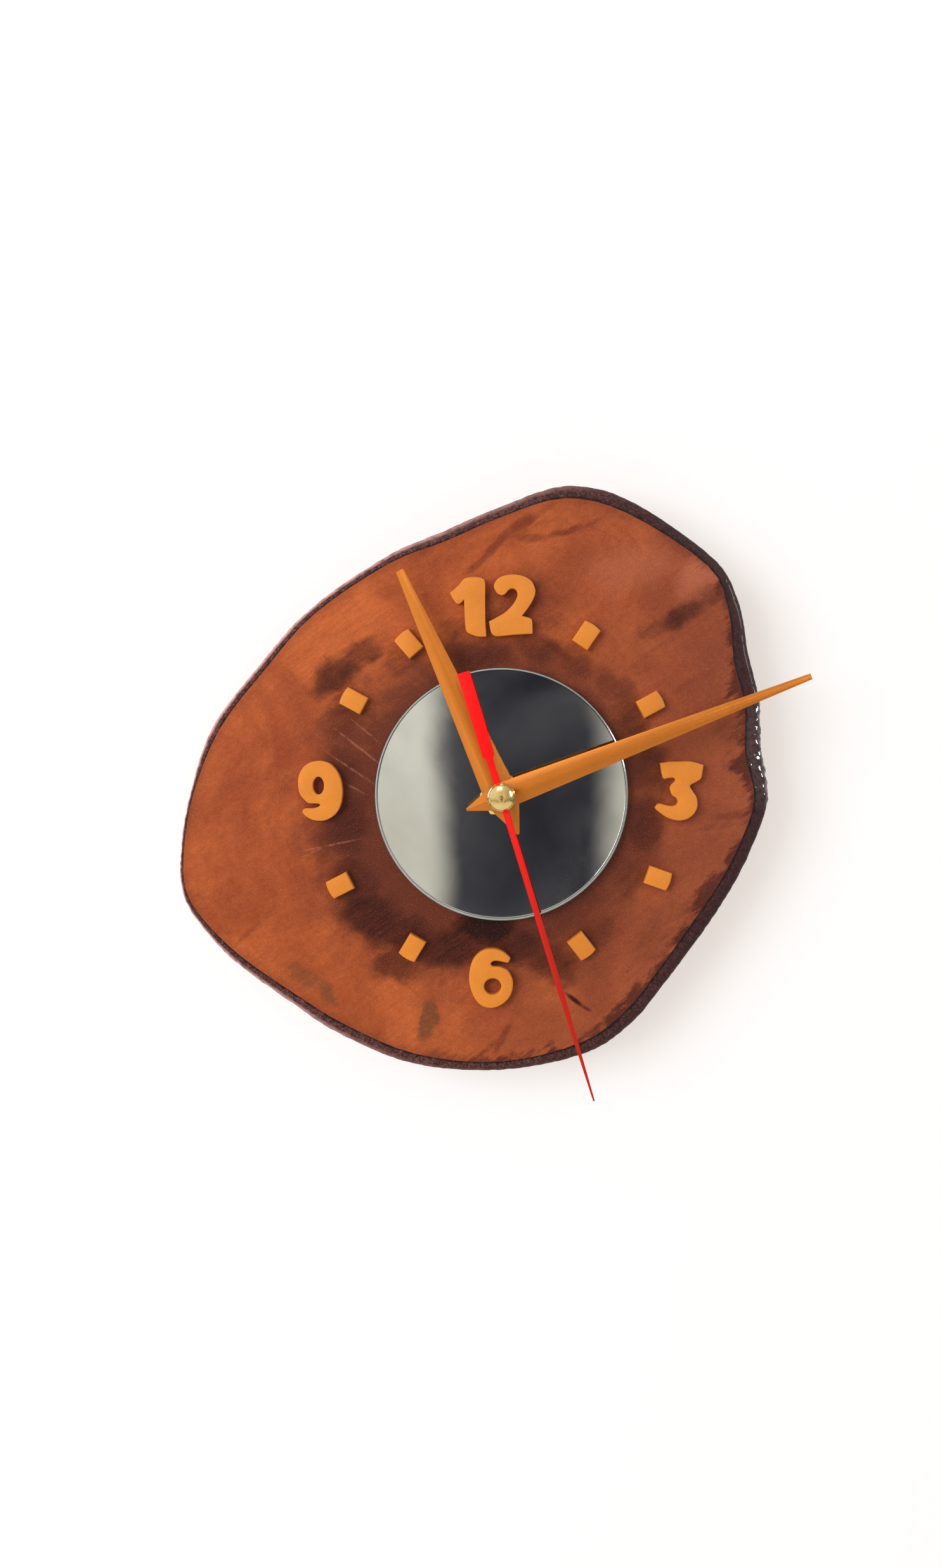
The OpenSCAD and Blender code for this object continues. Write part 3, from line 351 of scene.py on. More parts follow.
def plain_wall(name, colour, lightness):
    """Matt paint. The lightness lifts it for the camera and in reflections alone."""
    material = bpy.data.materials.new(name)
    material.use_nodes = True
    tree = material.node_tree
    shader = tree.nodes["Principled BSDF"]
    place = put(tree, "ShaderNodeTexCoord").outputs["Object"]
    plaster = mottle(tree, place, 260.0, 5.0, 0.6)
    shade = tint(tree, mottle(tree, place, 3.0, 2.0), colour, tuple(c * 0.97 for c in colour))
    tree.links.new(shade, shader.inputs["Base Color"])
    tree.links.new(relief(tree, plaster, 0.12, 0.35), shader.inputs["Normal"])
    shader.inputs["Roughness"].default_value = 0.85
    shader.inputs["Specular IOR Level"].default_value = 0.2
    rays = put(tree, "ShaderNodeLightPath").outputs
    kinds = ("Is Camera Ray", "Is Glossy Ray", "Is Transmission Ray")
    lift = times(tree, chained(tree, "MAXIMUM", [rays[kind] for kind in kinds]), lightness)
    glow = put(tree, "ShaderNodeEmission", {"Color": (1.0, 0.9, 0.81, 1), "Strength": 1.08})
    front = put(tree, "ShaderNodeMixShader", {0: lift, 1: shader.outputs[0], 2: glow.outputs[0]})
    behind = put(tree, "ShaderNodeNewGeometry").outputs["Backfacing"]
    clear = put(tree, "ShaderNodeBsdfTransparent").outputs[0]
    both = put(tree, "ShaderNodeMixShader", {0: behind, 1: front.outputs[0], 2: clear})
    tree.links.new(both.outputs[0], tree.nodes["Material Output"].inputs["Surface"])
    return material


HALF = 2.2
FLOOR_Z = -1.1
CORNERS = [(-1, -1), (1, -1), (1, 1), (-1, 1)]
wall = sheet(
    "wall", [(x * HALF, WALL_Y, FLOOR_Z + (1 + z) * HALF) for x, z in CORNERS],
    plain_wall("wall_paint", (0.93, 0.955, 0.98, 1), 0.5),
)
wall.visible_diffuse = False
wall.visible_shadow = False
sheet(
    "floor", [(x * HALF, y * HALF, FLOOR_Z) for x, y in CORNERS],
    plain_wall("floor_paint", (0.8, 0.79, 0.77, 1), 0.35),
)
print("wall and floor", 2 * HALF, "m wide")

# %% [markdown]
# ## Shared effects
#
# Some effects turn up in several finishes: the speckle of paint and moulded plastic, the fine
# turned lines on metal, the rings of a log, a stain. Each is built once as a node group, with
# named inputs, and placed wherever it is needed with its own values.


# %% Group helpers
FLOAT, VECTOR = "NodeSocketFloat", "NodeSocketVector"


def shader_group(name, inputs, outputs):
    """A group that takes a Place and more, as (name, kind, value), and gives out numbers."""
    group = bpy.data.node_groups.new(name, "ShaderNodeTree")
    for title, kind, value in [("Place", VECTOR, (0, 0, 0))] + inputs:
        socket = group.interface.new_socket(name=title, in_out="INPUT", socket_type=kind)
        socket.default_value = value
    for title in outputs:
        group.interface.new_socket(name=title, in_out="OUTPUT", socket_type=FLOAT)
    return group, group.nodes.new("NodeGroupInput").outputs


def close_group(group, **outputs):
    end = group.nodes.new("NodeGroupOutput")
    for title, value in outputs.items():
        group.links.new(value, end.inputs[title])


def use(tree, group, **inputs):
    """Places a group in a tree."""
    made = tree.nodes.new("ShaderNodeGroup")
    made.node_tree = group
    for name, value in inputs.items():
        if isinstance(value, bpy.types.NodeSocket):
            tree.links.new(value, made.inputs[name])
        else:
            made.inputs[name].default_value = value
    return made.outputs


print("group helpers")

# %% [markdown]
# Paint and plastic look alike from near: a fine grain, and under it a broad cloudiness. The
# two noises are mixed, and the contrast says how much of them shows.

# %% Speckle
speckle, given = shader_group(
    "speckle", [("Grain", FLOAT, 1.0), ("Contrast", FLOAT, 1.0)], ["Tone", "Height"],
)
fine = mottle(speckle, given["Place"], given["Grain"], 2.0, 0.7)
broad = mottle(speckle, given["Place"], 0.12, 3.0, 0.5, 0.4, 3.0)
mixed = swing(speckle, blend(speckle, (fine, 0.65), (broad, 0.35)), given["Contrast"])
close_group(speckle, Tone=calc(speckle, "ADD", mixed, 0.5, clamp=True), Height=fine)
print(speckle.name, "of", len(speckle.nodes), "nodes")

# %% [markdown]
# A turning tool leaves circles. Noise that depends only on the distance from the axis, and on
# the height, draws such lines on any piece that stands on the arbor.

# %% Turned metal
turned, given = shader_group("turned_lines", [("Lines", FLOAT, 8.0)], ["Tone", "Height"])
radius = off_axis(turned, given["Place"])
height = parts(turned, given["Place"])[2]
ring_place = put(turned, "ShaderNodeCombineXYZ", {
    0: times(turned, radius, given["Lines"]), 1: times(turned, height, given["Lines"]),
}).outputs[0]
line = mottle(turned, ring_place, 1.0, 3.0, 0.6)
smear = mottle(turned, given["Place"], 0.5, 3.0, 0.6, 0.5, 2.0)
close_group(turned, Tone=blend(turned, (line, 0.4), (smear, 0.6)), Height=line)
print(turned.name, "of", len(turned.nodes), "nodes")

# %% [markdown]
# A log grows a ring a year, and each ring darkens slowly and ends at once. The distance from
# the pith is made to wander, divided into years, and raised to a power for that lopsided
# tone. Rays run out from the pith, so their noise follows the angle.

# %% Rings of the log
PITH = (6, 4, 0)
rings, given = shader_group(
    "growth_rings", [("Spacing", FLOAT, 2.4), ("Wander", FLOAT, 5.0), ("Fibre", FLOAT, 4.0)],
    ["Rings", "Rays", "Pores"],
)
from_pith = vector_calc(rings, "ADD", given["Place"], PITH)
x, y = parts(rings, from_pith)[:2]
radius = off_axis(rings, from_pith)
slow = mottle(rings, given["Place"], 0.03, 3.0, 0.5, 0.0, 5.0)
wavy = plus(rings, radius, times(rings, slow, given["Wander"]))
year = calc(rings, "FRACT", calc(rings, "DIVIDE", wavy, given["Spacing"]))
ray_place = put(rings, "ShaderNodeCombineXYZ", {
    0: times(rings, calc(rings, "ARCTAN2", y, x), 60.0), 1: times(rings, radius, 0.08),
}).outputs[0]
close_group(
    rings, Rings=calc(rings, "POWER", year, 3.0), Rays=mottle(rings, ray_place, 1.0, 4.0, 0.65),
    Pores=mottle(rings, given["Place"], given["Fibre"], 2.0, 0.8),
)
print(rings.name, "of", len(rings.nodes), "nodes")

# %% [markdown]
# A stain is an ellipse with a soft edge. Its place, its turn and its reach each way are
# inputs, so that one group serves for a broad smudge, a stroke and a thin scratch.

# %% Stains
stain, given = shader_group(
    "stain",
    [("Middle", VECTOR, (0, 0, 0)), ("Turn", VECTOR, (0, 0, 0)), ("Reach", VECTOR, (1, 1, 1))],
    ["Mask"],
)
away = vector_calc(stain, "SUBTRACT", given["Place"], given["Middle"])
away = put(
    stain, "ShaderNodeVectorRotate", {"Vector": away, "Rotation": given["Turn"]},
    rotation_type="EULER_XYZ", invert=True,
).outputs[0]
away = off_axis(stain, vector_calc(stain, "DIVIDE", away, given["Reach"]))
close_group(stain, Mask=between(stain, away, 0.25, 1.0, 1.0, 0.0))
print(stain.name, "of", len(stain.nodes), "nodes")

# %% [markdown]
# ## Finishes
#
# A finish is one material with the detail of the real surface. They all start alike, so a
# helper makes the material and hands back its tree, its shader and the place on the dial in
# millimetres, which every pattern is measured in.

# %% Start a finish
finishes = {}


def finish(name, **constants):
    """A new material. Constants are sockets of its shader, named with _ for a space."""
    material = bpy.data.materials.new(name + "_finish")
    material.use_nodes = True
    tree = material.node_tree
    shader = tree.nodes["Principled BSDF"]
    for title, value in constants.items():
        shader.inputs[title.replace("_", " ")].default_value = value
    place = put(tree, "ShaderNodeMapping", {
        "Vector": put(tree, "ShaderNodeTexCoord").outputs["Object"], "Scale": (1 / MM,) * 3,
        "Rotation": (-math.pi / 2, 0, 0),
        "Location": (-ARBOR.x / MM, -ARBOR.z / MM, WALL_Y / MM),
    }).outputs[0]
    finishes[name] = material
    return tree, shader, place


def feed(tree, shader, **inputs):
    """Joins outputs to the shader, whose inputs are named with _ for a space."""
    for title, value in inputs.items():
        tree.links.new(value, shader.inputs[title.replace("_", " ")])


print("ready to make finishes")

# %% [markdown]
# The outline of the slice is the most telling shape of this clock. It is given as a table of
# places round the dial, the same that the solid is built on: an angle, a distance past the
# mean radius and the width of the bark there.

# %% Bark outline
SLICE_R = 86
SLICE = [
    (0, 1, 3.6), (12, 9, 4.2), (24, 10.5, 4.2), (42, 9.5, 3.2), (51, 6, 4.4), (60, 0, 5.4),
    (70, -3, 5), (80, -6, 5.4), (91, -5, 4.6), (102, -8, 4.4), (112, -10, 4.6),
    (124, -11.2, 4.8), (138, -9.5, 4.6), (150, -5, 4.6), (162, -1.8, 4.2), (180, -0.5, 3.2),
    (198, 2, 3.8), (214, 3.7, 4), (226, 6, 3.6), (238, 11.5, 3.2), (247, 15.4, 2.2),
    (253, 16.5, 1.4), (260, 13.8, 1.2), (270, 9.2, 1.2), (283, 4.6, 2.6), (298, -2.4, 2.6),
    (314, -5.2, 2.2), (334, -6, 2.6), (348, -4.4, 3.4),
]


def clock_point(radius, degrees):
    turn = math.radians(degrees)
    return Vector((radius * math.sin(turn), radius * math.cos(turn)))


print("outline of", len(SLICE), "points")

# %% [markdown]
# The dial is end grain: the log was sawn across, sanded, stained red-brown and varnished. The
# stain soaked in unevenly. It is darkest in a broad ring round the mirror, and it left brown
# smudges and dark red strokes that run with the saw's marks, with more of them at the bark on
# the right. A few marks are grey or pale. The strongest smudge, just under the mirror, is
# partly stain and partly a painted shadow of the mirror, and it turns nearly black. Each one
# is a soft ellipse from a table, with streaky noise added before the soft step, so that its
# edge breaks up into brush marks. The nicks and the pale scratches are thin ellipses too.

# %% Stains and scratches
# Each one: x, y, turn in degrees, half length, half width, strength
SMUDGES_AND_SHADOW = [
    (-50, 36, 32, 15, 8, 1.0), (-43, 42, 30, 12, 7, 0.8), (-30, 41, 20, 14, 8, 0.55),
    (-48, 23, 80, 15, 10, 0.8), (-50, 6, 85, 16, 11, 0.75), (-47, -9, 80, 18, 11, 0.85),
    (-53, -15, 60, 12, 8, 0.6), (-45, -27, -60, 15, 11, 0.85), (-39, -38, -35, 19, 12, 1.15),
    (-29, -44, -20, 17, 11, 1.1), (-32, -53, 0, 13, 8, 0.8), (-17, -47, 5, 17, 10, 1.05),
    # The first mark here, under the mirror at 6, is partly a painted shadow of the mirror.
    (-4.5, -41, 0, 13, 8, 2.2), (5, -46, 0, 15, 10, 0.95), (15, -51, -20, 15, 9, 0.8),
    (19, -54, -50, 8, 6, 0.8), (29, -43, 35, 14, 8, 0.6), (-6, 42, 0, 18, 8, 0.75),
    (11, 44, -20, 13, 7, 0.7), (23, 39, -35, 12, 7, 0.65), (34, 33, -50, 12, 8, 0.65),
    (40, 22, -70, 13, 9, 0.75), (45, 8, -85, 14, 9, 0.75), (44, -9, 85, 16, 9, 0.9),
    (40, -25, 60, 14, 8, 0.55), (54, 54, 34, 13, 5.6, 0.8), (63, 60, 36, 11, 4.4, 0.65),
    (47, 50, 25, 12, 5, 0.55), (42, 38, 20, 12, 5, 0.35), (66, 22, -80, 14, 6, 0.4),
    (52, -42, 40, 24, 14, 0.45), (4, 57, 0, 27, 15, 0.62),
    (-14, 50, 60, 9, 6, 0.5),
]
STROKES = [
    (-7, 70, 42, 9, 1.7, 0.8), (-1, 75.5, 40, 9, 2.2, 0.95), (6, 81, 37, 9, 2.6, 1.0),
    (13, 86.5, 30, 7, 2, 0.6), (4, 78, 30, 8, 3, 0.55), (9, 77, 3, 9, 2, 0.75),
    (19, 79.3, 20, 9, 1.9, 1.0), (26, 82, 26, 6, 1.4, 0.6), (12, 82, 14, 9, 1.3, 0.5),
    (-77.5, -43, 50, 9, 1.6, 0.55), (0, -75, 66, 10, 2, 0.8), (70, -6, 8, 13, 2.2, 0.7),
    (64, -10, 10, 11, 1.8, 0.5), (58, 34, 30, 12, 1.8, 0.4), (30, 24, -60, 9, 1.8, 0.3),
    (48, 45, 34, 12, 1.5, 0.4), (60, 25, 20, 12, 1.8, 0.35), (17, 42.7, -31, 9, 2.2, 0.8),
    (-15, 47, 62, 5, 1.8, 0.6), (-6, 42.5, 20, 7, 2.4, 0.6),
]
GREY_MARKS = [
    (-60, -56, -30, 11, 6, 0.7), (-54, -61, -62, 9, 4, 0.85), (-22.5, -70, 76, 11, 3.4, 1.2),
    (-66, 3, 80, 14, 6, 0.25),
]
PALE_MARKS = [(60, 67, 50, 14, 8, 0.9), (38, 68, 10, 20, 10, 0.5)]
NICKS = [(22.5, -63, -38, 5, 1.1, 1.0), (26, -65.5, -30, 2.5, 0.8, 0.7)]
SCRATCHES = [
    (-43, 14, -38, 13, 0.5, 0.8), (-46, 8, -34, 12, 0.45, 0.7), (-41, 19, -40, 9, 0.4, 0.6),
    (-47, 3, -28, 11, 0.4, 0.6), (-52, -15.6, 12, 13, 0.5, 0.7), (-58, -18, 24, 7, 0.4, 0.5),
]

def soaked_in(tree, place, marks):
    """The strongest of the marks at each place, from 0 up to their strength."""
    masks = []
    for x, y, turn, half_length, half_width, strength in marks:
        mask = use(
            tree, stain, Place=place, Middle=(x, y, 0), Turn=(0, 0, math.radians(turn)),
            Reach=(half_length, half_width, 1),
        )["Mask"]
        masks.append(times(tree, mask, strength))
    return chained(tree, "MAXIMUM", masks)


def brushed(tree, marks, streaks, spread, low, high):
    """Breaks up the edges of the marks with streaks."""
    return between(tree, plus(tree, marks, swing(tree, streaks, spread)), low, high)


def to_bark(tree, place):
    """How many millimetres it still is to the bark, from a curve of its distance by angle."""
    far = 110
    across, upward = parts(tree, place)[:2]
    turn = calc(tree, "DIVIDE", calc(tree, "ARCTAN2", across, upward), 2 * math.pi)
    curve = put(tree, "ShaderNodeFloatCurve", {"Value": plus(tree, turn, 0.5)})
    points = [((a / 360 + 0.5) % 1, (SLICE_R + past - bark) / far) for a, past, bark in SLICE]
    points.append((1.0, min(points)[1]))
    line = curve.mapping.curves[0]
    for i, (where, height) in enumerate(sorted(points)):
        if i < 2:
            line.points[i].location = (where, height)
        else:
            line.points.new(where, height)
    curve.mapping.update()
    return minus(tree, times(tree, curve.outputs[0], far), off_axis(tree, place))


print(len(SMUDGES_AND_SHADOW) + len(STROKES), "stains and", len(SCRATCHES), "scratches")

# %% [markdown]
# The wood begins with its patterns, from broad clouds down to grit. Two of them are streaks
# that lie at about 35 degrees, as the stain was wiped on that way. The places for the stains
# are shifted a little, so that no ellipse keeps a smooth edge.

# %% Patterns in the wood
tree, shader, place = finish(
    "varnished_wood", Coat_Roughness=0.3, Coat_IOR=1.5, Specular_IOR_Level=0.12,
)
across, upward, out = parts(tree, place)
ragged = wobbled(tree, place, 0.12, 8.0, 4.0, 0.6)
bent = wobbled(tree, place, 0.06, 6.0, 2.0)
cloud = mottle(tree, place, 0.028, 4.0, 0.6, 0.8, 1.0)
blotch = mottle(tree, place, 0.085, 5.0, 0.62, 0.6, 2.0)
flecks = mottle(tree, place, 0.8, 4.0, 0.7, 0.3, 4.0)
grit = mottle(tree, place, 2.4, 3.0, 0.8, 0.0, 6.0)
smears = mottle(tree, drawn_out(tree, ragged, 34, 16, 3.4), 1.0, 5.0, 0.62, 0.4)
brush = mottle(tree, drawn_out(tree, place, 36, 7, 0.9), 1.0, 4.0, 0.65, 0.3, 1.0)
streaky = blend(tree, (smears, 0.65), (brush, 0.35))
patchy = blend(tree, (streaky, 0.6), (blotch, 0.4))
grain = use(tree, rings, Place=place, Spacing=3.4, Wander=26.0, Fibre=3.0)
print("patterns of", len(tree.nodes), "nodes")

# %% [markdown]
# The masks come next: the broad ring round the mirror, the marks from the tables, and the
# stain that seeped in from the bark, mostly on the right.

# %% Stain the front
reach = plus(tree, swing(tree, blotch, 26.0), off_axis(tree, ragged))
reach = plus(tree, reach, times(tree, plus(tree, across, upward), 0.12))
ring = between(tree, reach, 38, 62, 0.92, 0.0)
smudges_and_shadow = soaked_in(tree, ragged, SMUDGES_AND_SHADOW)
smudged_and_shadowed = brushed(tree, smudges_and_shadow, patchy, 1.7, 0.05, 1.2)
stroked = brushed(tree, soaked_in(tree, bent, STROKES), brush, 0.6, 0.0, 1.3)
greyed = brushed(tree, soaked_in(tree, ragged, GREY_MARKS), patchy, 1.3, 0.1, 1.1)
paled = soaked_in(tree, ragged, PALE_MARKS)
nicked = soaked_in(tree, place, NICKS)
worn = times(tree, soaked_in(tree, place, SCRATCHES), between(tree, flecks, 0.35, 0.6))
on_right = between(tree, minus(tree, across, times(tree, upward, 0.5)), -10, 55)
seep = times(tree, swing(tree, patchy, 40.0, 0.49), on_right)
edge_stain = between(tree, minus(tree, to_bark(tree, place), seep), -1.0, 3.6, 1.0, 0.0)
edge_stain = times(tree, edge_stain, between(tree, on_right, 0.0, 1.0, 0.3, 0.85))
print("stained with", len(tree.nodes), "nodes by now")

# %% [markdown]
# The front is built up coat by coat, from the warm ground to the grit and the scratches on
# top. One coat is painted shade, darker to the right and lower down, away from the window.
# The back and the pocket are raw wood.

# %% Colour the wood
warmth = plus(tree, blend(tree, (cloud, 0.75), (streaky, 0.25)), swing(tree, flecks, 0.2))
# Painted shade: the front darkens to the right and lower down, away from the window.
painted_shade = between(tree, minus(tree, across, times(tree, upward, 0.25)), -40, 95, 0.0, 0.62)
deep = tint(tree, between(tree, brush, 0.35, 0.65), rgb(38, 14, 11), rgb(72, 30, 19))
front = coats(
    tree, tint(tree, between(tree, warmth, 0.32, 0.68), rgb(148, 69, 35), rgb(198, 101, 51)),
    (between(tree, brush, 0.3, 0.7), 0.28, rgb(118, 48, 28)),
    (painted_shade, 1, rgb(120, 66, 50)),
    (grain["Rings"], 0.1, rgb(104, 44, 24)),
    (between(tree, grain["Rays"], 0.5, 0.8), 0.22, rgb(112, 48, 30)),
    (paled, 0.6, rgb(190, 108, 78)),
    (ring, 1, rgb(88, 43, 31)),
    (edge_stain, 1, rgb(68, 29, 26)),
    (stroked, 0.7, rgb(88, 30, 22)),
    (greyed, 0.7, rgb(88, 60, 40)),
    (smudged_and_shadowed, 0.95, deep),
    # Nearly black where a mark is stronger than 1.2: the painted shadow under the mirror, partly
    # stain.
    (between(tree, smudges_and_shadow, 1.2, 2.0, 0.0, 0.9), 1, rgb(24, 9, 10)),
    (nicked, 1, rgb(40, 14, 12)),
    (between(tree, grit, 0.38, 0.62, 0.2, 0.0), 1, rgb(70, 26, 18)),
    (between(tree, grit, 0.52, 0.72, 0.0, 0.14), 1, rgb(214, 132, 88)),
    (worn, 0.5, rgb(190, 118, 86)),
)
raw = coats(
    tree, tint(tree, between(tree, cloud, 0.3, 0.7), rgb(196, 154, 108), rgb(216, 178, 130)),
    (grain["Rings"], 0.45, rgb(150, 104, 66)),
    (between(tree, grain["Rays"], 0.52, 0.75), 0.35, rgb(138, 96, 62)),
)
is_front = between(tree, out, FACE - 0.6, FACE - 0.3)
print("coloured with", len(tree.nodes), "nodes by now")

# %% [markdown]
# The varnish fills most of the grain on the front and shines softly. The raw wood behind
# keeps the saw's lines and is duller.

# %% Varnish the wood
saw = mottle(tree, drawn_out(tree, place, 12, 20, 0.45), 1.0, 3.0, 0.6)
pores = blend(tree, (grain["Pores"], 0.5), (flecks, 0.8))
sawn = plus(tree, times(tree, saw, 1.6), pores)
filled = blend(tree, (pores, 0.3), (brush, 0.3))
height = put(tree, "ShaderNodeMix", {0: is_front, 2: sawn, 3: filled}).outputs[0]
duller = times(tree, minus(tree, 1.0, is_front), 0.3)
feed(
    tree, shader, Base_Color=tint(tree, is_front, raw, front),
    Roughness=plus(tree, between(tree, flecks, 0.2, 0.8, 0.42, 0.58), duller),
    Normal=relief(tree, height, 0.12, 0.5), Coat_Weight=times(tree, is_front, 0.08),
)
print("varnished wood of", len(tree.nodes), "nodes")

# %% [markdown]
# Bark is darker and purple-brown, with a nearly black line where it meets the wood. The
# varnish went over its front too. Near the 3 it ran and set thick, and that is where it
# glints. Round the side the bark is dry. Its colour also carries painted light: a pale pink
# highlight on the rounded front edge on the left, shade that darkens it towards the right,
# and shade in the furrows. How far across the bark a place lies, where the varnish ran and
# where a crack is come from attributes that the bark's mesh carries.

# %% Bark
tree, shader, place = finish("bark", Coat_Roughness=0.08, Specular_IOR_Level=0.14)
band, run, crack = (
    put(tree, "ShaderNodeAttribute", attribute_name=name).outputs["Fac"]
    for name in ("across", "run", "crack")
)
across, upward = parts(tree, place)[:2]
lumps = mottle(tree, place, 0.5, 5.0, 0.7, 0.4)
specks = mottle(tree, place, 1.5, 5.0, 0.75, 0.0, 2.0)
fibres = mottle(tree, vector_calc(tree, "MULTIPLY", place, (1, 1, 0.12)), 0.9, 4.0, 0.7)
on_left = between(tree, minus(tree, across, times(tree, upward, 0.3)), -85, 20, 1.0, 0.0)
highlight_breakup = between(tree, lumps, 0.3, 0.55, 0.35, 0.95)
# Painted highlight: the rounded front edge on the left, lit by the window, is painted pale pink.
rim = times(tree, between(tree, band, 0.45, 0.85), on_left, highlight_breakup)
skin = coats(
    tree, tint(tree, between(tree, lumps, 0.3, 0.7), rgb(76, 44, 40), rgb(110, 70, 62)),
    (between(tree, specks, 0.42, 0.56, 0.85, 0.0), 1, rgb(40, 20, 24)),
    (between(tree, specks, 0.56, 0.7, 0.0, 0.5), 1, rgb(150, 108, 94)),
    # Painted shade: the bark darkens towards the right, away from the window.
    (between(tree, across, -20, 75, 0.0, 0.72), 1, rgb(42, 21, 23)),
    (rim, 1, rgb(208, 152, 142)),
)
dry = coats(
    tree, tint(tree, between(tree, lumps, 0.32, 0.66), rgb(98, 62, 49), rgb(150, 112, 92)),
    (between(tree, fibres, 0.38, 0.58, 0.7, 0.0), 1, rgb(66, 39, 32)),
    # Painted shade in the furrows: the cracks are coloured darker.
    (crack, 0.85, rgb(38, 21, 19)),
)
seam = between(tree, plus(tree, band, swing(tree, lumps, 0.5)), 0.03, 0.2, 0.95, 0.0)
colour = tint(tree, between(tree, band, 0.85, 1.08), skin, dry)
varnish = calc(tree, "MAXIMUM", run, between(tree, band, 0.75, 1.05, 0.06, 0.02))
feed(
    tree, shader, Base_Color=tint(tree, seam, colour, rgb(26, 12, 20)), Coat_Weight=varnish,
    Roughness=between(tree, specks, 0.3, 0.7, 0.5, 0.75),
    Normal=relief(tree, plus(tree, lumps, times(tree, specks, 0.5)), 0.3, 0.6),
)
print("bark of", len(tree.nodes), "nodes")

# %% [markdown]
# The numerals, the markers and the hands wear much the same ochre paint. On the numerals it
# is matt and speckled. On the hands it is a gold with a soft shine. The second hand is red,
# and painted shade darkens its needle towards the tip. The moulded plastics and the printed
# board take the same recipe in their own colours.


# %% Paints
def painted(name, low, high, grain, contrast, depth, rough_low, rough_high, **constants):
    """Paint, lacquer or moulded plastic: one colour that varies a little, and a fine skin."""
    tree, shader, place = finish(name, **constants)
    skin = use(tree, speckle, Place=place, Grain=grain, Contrast=contrast)
    colour = tint(tree, skin["Tone"], low, high)
    feed(
        tree, shader, Base_Color=colour,
        Roughness=between(tree, skin["Tone"], 0.2, 0.8, rough_low, rough_high),
        Normal=relief(tree, skin["Height"], depth, 0.5),
    )
    return tree, shader, place, colour


painted(
    "numeral_wood", rgb(194, 108, 28), rgb(224, 138, 46), 3.2, 1.4, 0.1, 0.46, 0.6,
    Specular_IOR_Level=0.3,
)
painted("gold_hand", rgb(178, 96, 24), rgb(208, 124, 38), 2.0, 1.0, 0.03, 0.3, 0.42, Metallic=0.5)
painted("case_plastic", rgb(34, 35, 38), rgb(54, 56, 60), 5.0, 1.4, 0.09, 0.3, 0.48)
painted("knob_plastic", rgb(196, 194, 182), rgb(214, 212, 200), 5.0, 1.0, 0.04, 0.35, 0.5)
painted("white_plastic", rgb(222, 220, 210), rgb(238, 237, 230), 5.0, 1.0, 0.03, 0.3, 0.45)
painted("black_rubber", rgb(18, 18, 18), rgb(36, 35, 34), 4.0, 1.6, 0.1, 0.7, 0.9)
painted("adhesive", rgb(226, 224, 216), rgb(242, 240, 234), 2.4, 1.4, 0.2, 0.8, 0.95)
painted("chip_resin", rgb(14, 14, 15), rgb(30, 30, 32), 7.0, 1.0, 0.04, 0.3, 0.5)
painted("magnet_black", rgb(38, 38, 42), rgb(62, 62, 68), 6.0, 1.0, 0.04, 0.4, 0.6, Metallic=0.4)
painted("board_laminate", rgb(20, 84, 50), rgb(34, 110, 66), 2.0, 1.0, 0.04, 0.3, 0.45)

NEEDLE_TURN = 163.4
tree, shader, place, red = painted(
    "red_enamel", rgb(228, 6, 3), rgb(252, 14, 6), 3.0, 1.0, 0.02, 0.45, 0.6,
    Specular_IOR_Level=0.15,
)
needle = clock_point(1, NEEDLE_TURN)
x, y = parts(tree, place)[:2]
# Painted shade: the red darkens along the needle towards its tip.
painted_shade_to_tip = between(tree, blend(tree, (x, needle.x), (y, needle.y)), -25, 62)
feed(tree, shader, Base_Color=tint(tree, painted_shade_to_tip, red, rgb(178, 34, 21)))
print(len(finishes), "finishes so far")

# %% [markdown]
# The metal pieces were turned or stamped, which leaves fine lines and a few dull smears.


# %% Metals
def metal(name, low, high, lines, depth, rough_low, rough_high):
    tree, shader, place = finish(name, Metallic=1.0)
    worked = use(tree, turned, Place=place, Lines=lines)
    feed(
        tree, shader, Base_Color=tint(tree, worked["Tone"], low, high),
        Roughness=between(tree, worked["Tone"], 0.3, 0.7, rough_low, rough_high),
        Normal=relief(tree, worked["Height"], depth, 0.4),
    )


metal("bright_brass", rgb(214, 178, 96), rgb(248, 222, 156), 9.0, 0.01, 0.08, 0.22)
metal("plated_steel", rgb(176, 178, 182), rgb(212, 214, 216), 9.0, 0.01, 0.14, 0.3)
metal("spring_steel", rgb(180, 178, 170), rgb(216, 214, 206), 6.0, 0.01, 0.18, 0.34)
metal("soft_iron", rgb(112, 112, 114), rgb(150, 150, 152), 5.0, 0.02, 0.3, 0.5)
metal("copper_wire", rgb(168, 84, 40), rgb(214, 126, 72), 12.0, 0.02, 0.2, 0.35)
print(len(finishes), "finishes so far")

# %% [markdown]
# The battery's jacket is a printed sleeve. Here it stays plain: dark green, with a pale band
# at the end with the button, and the steel can showing at both ends.

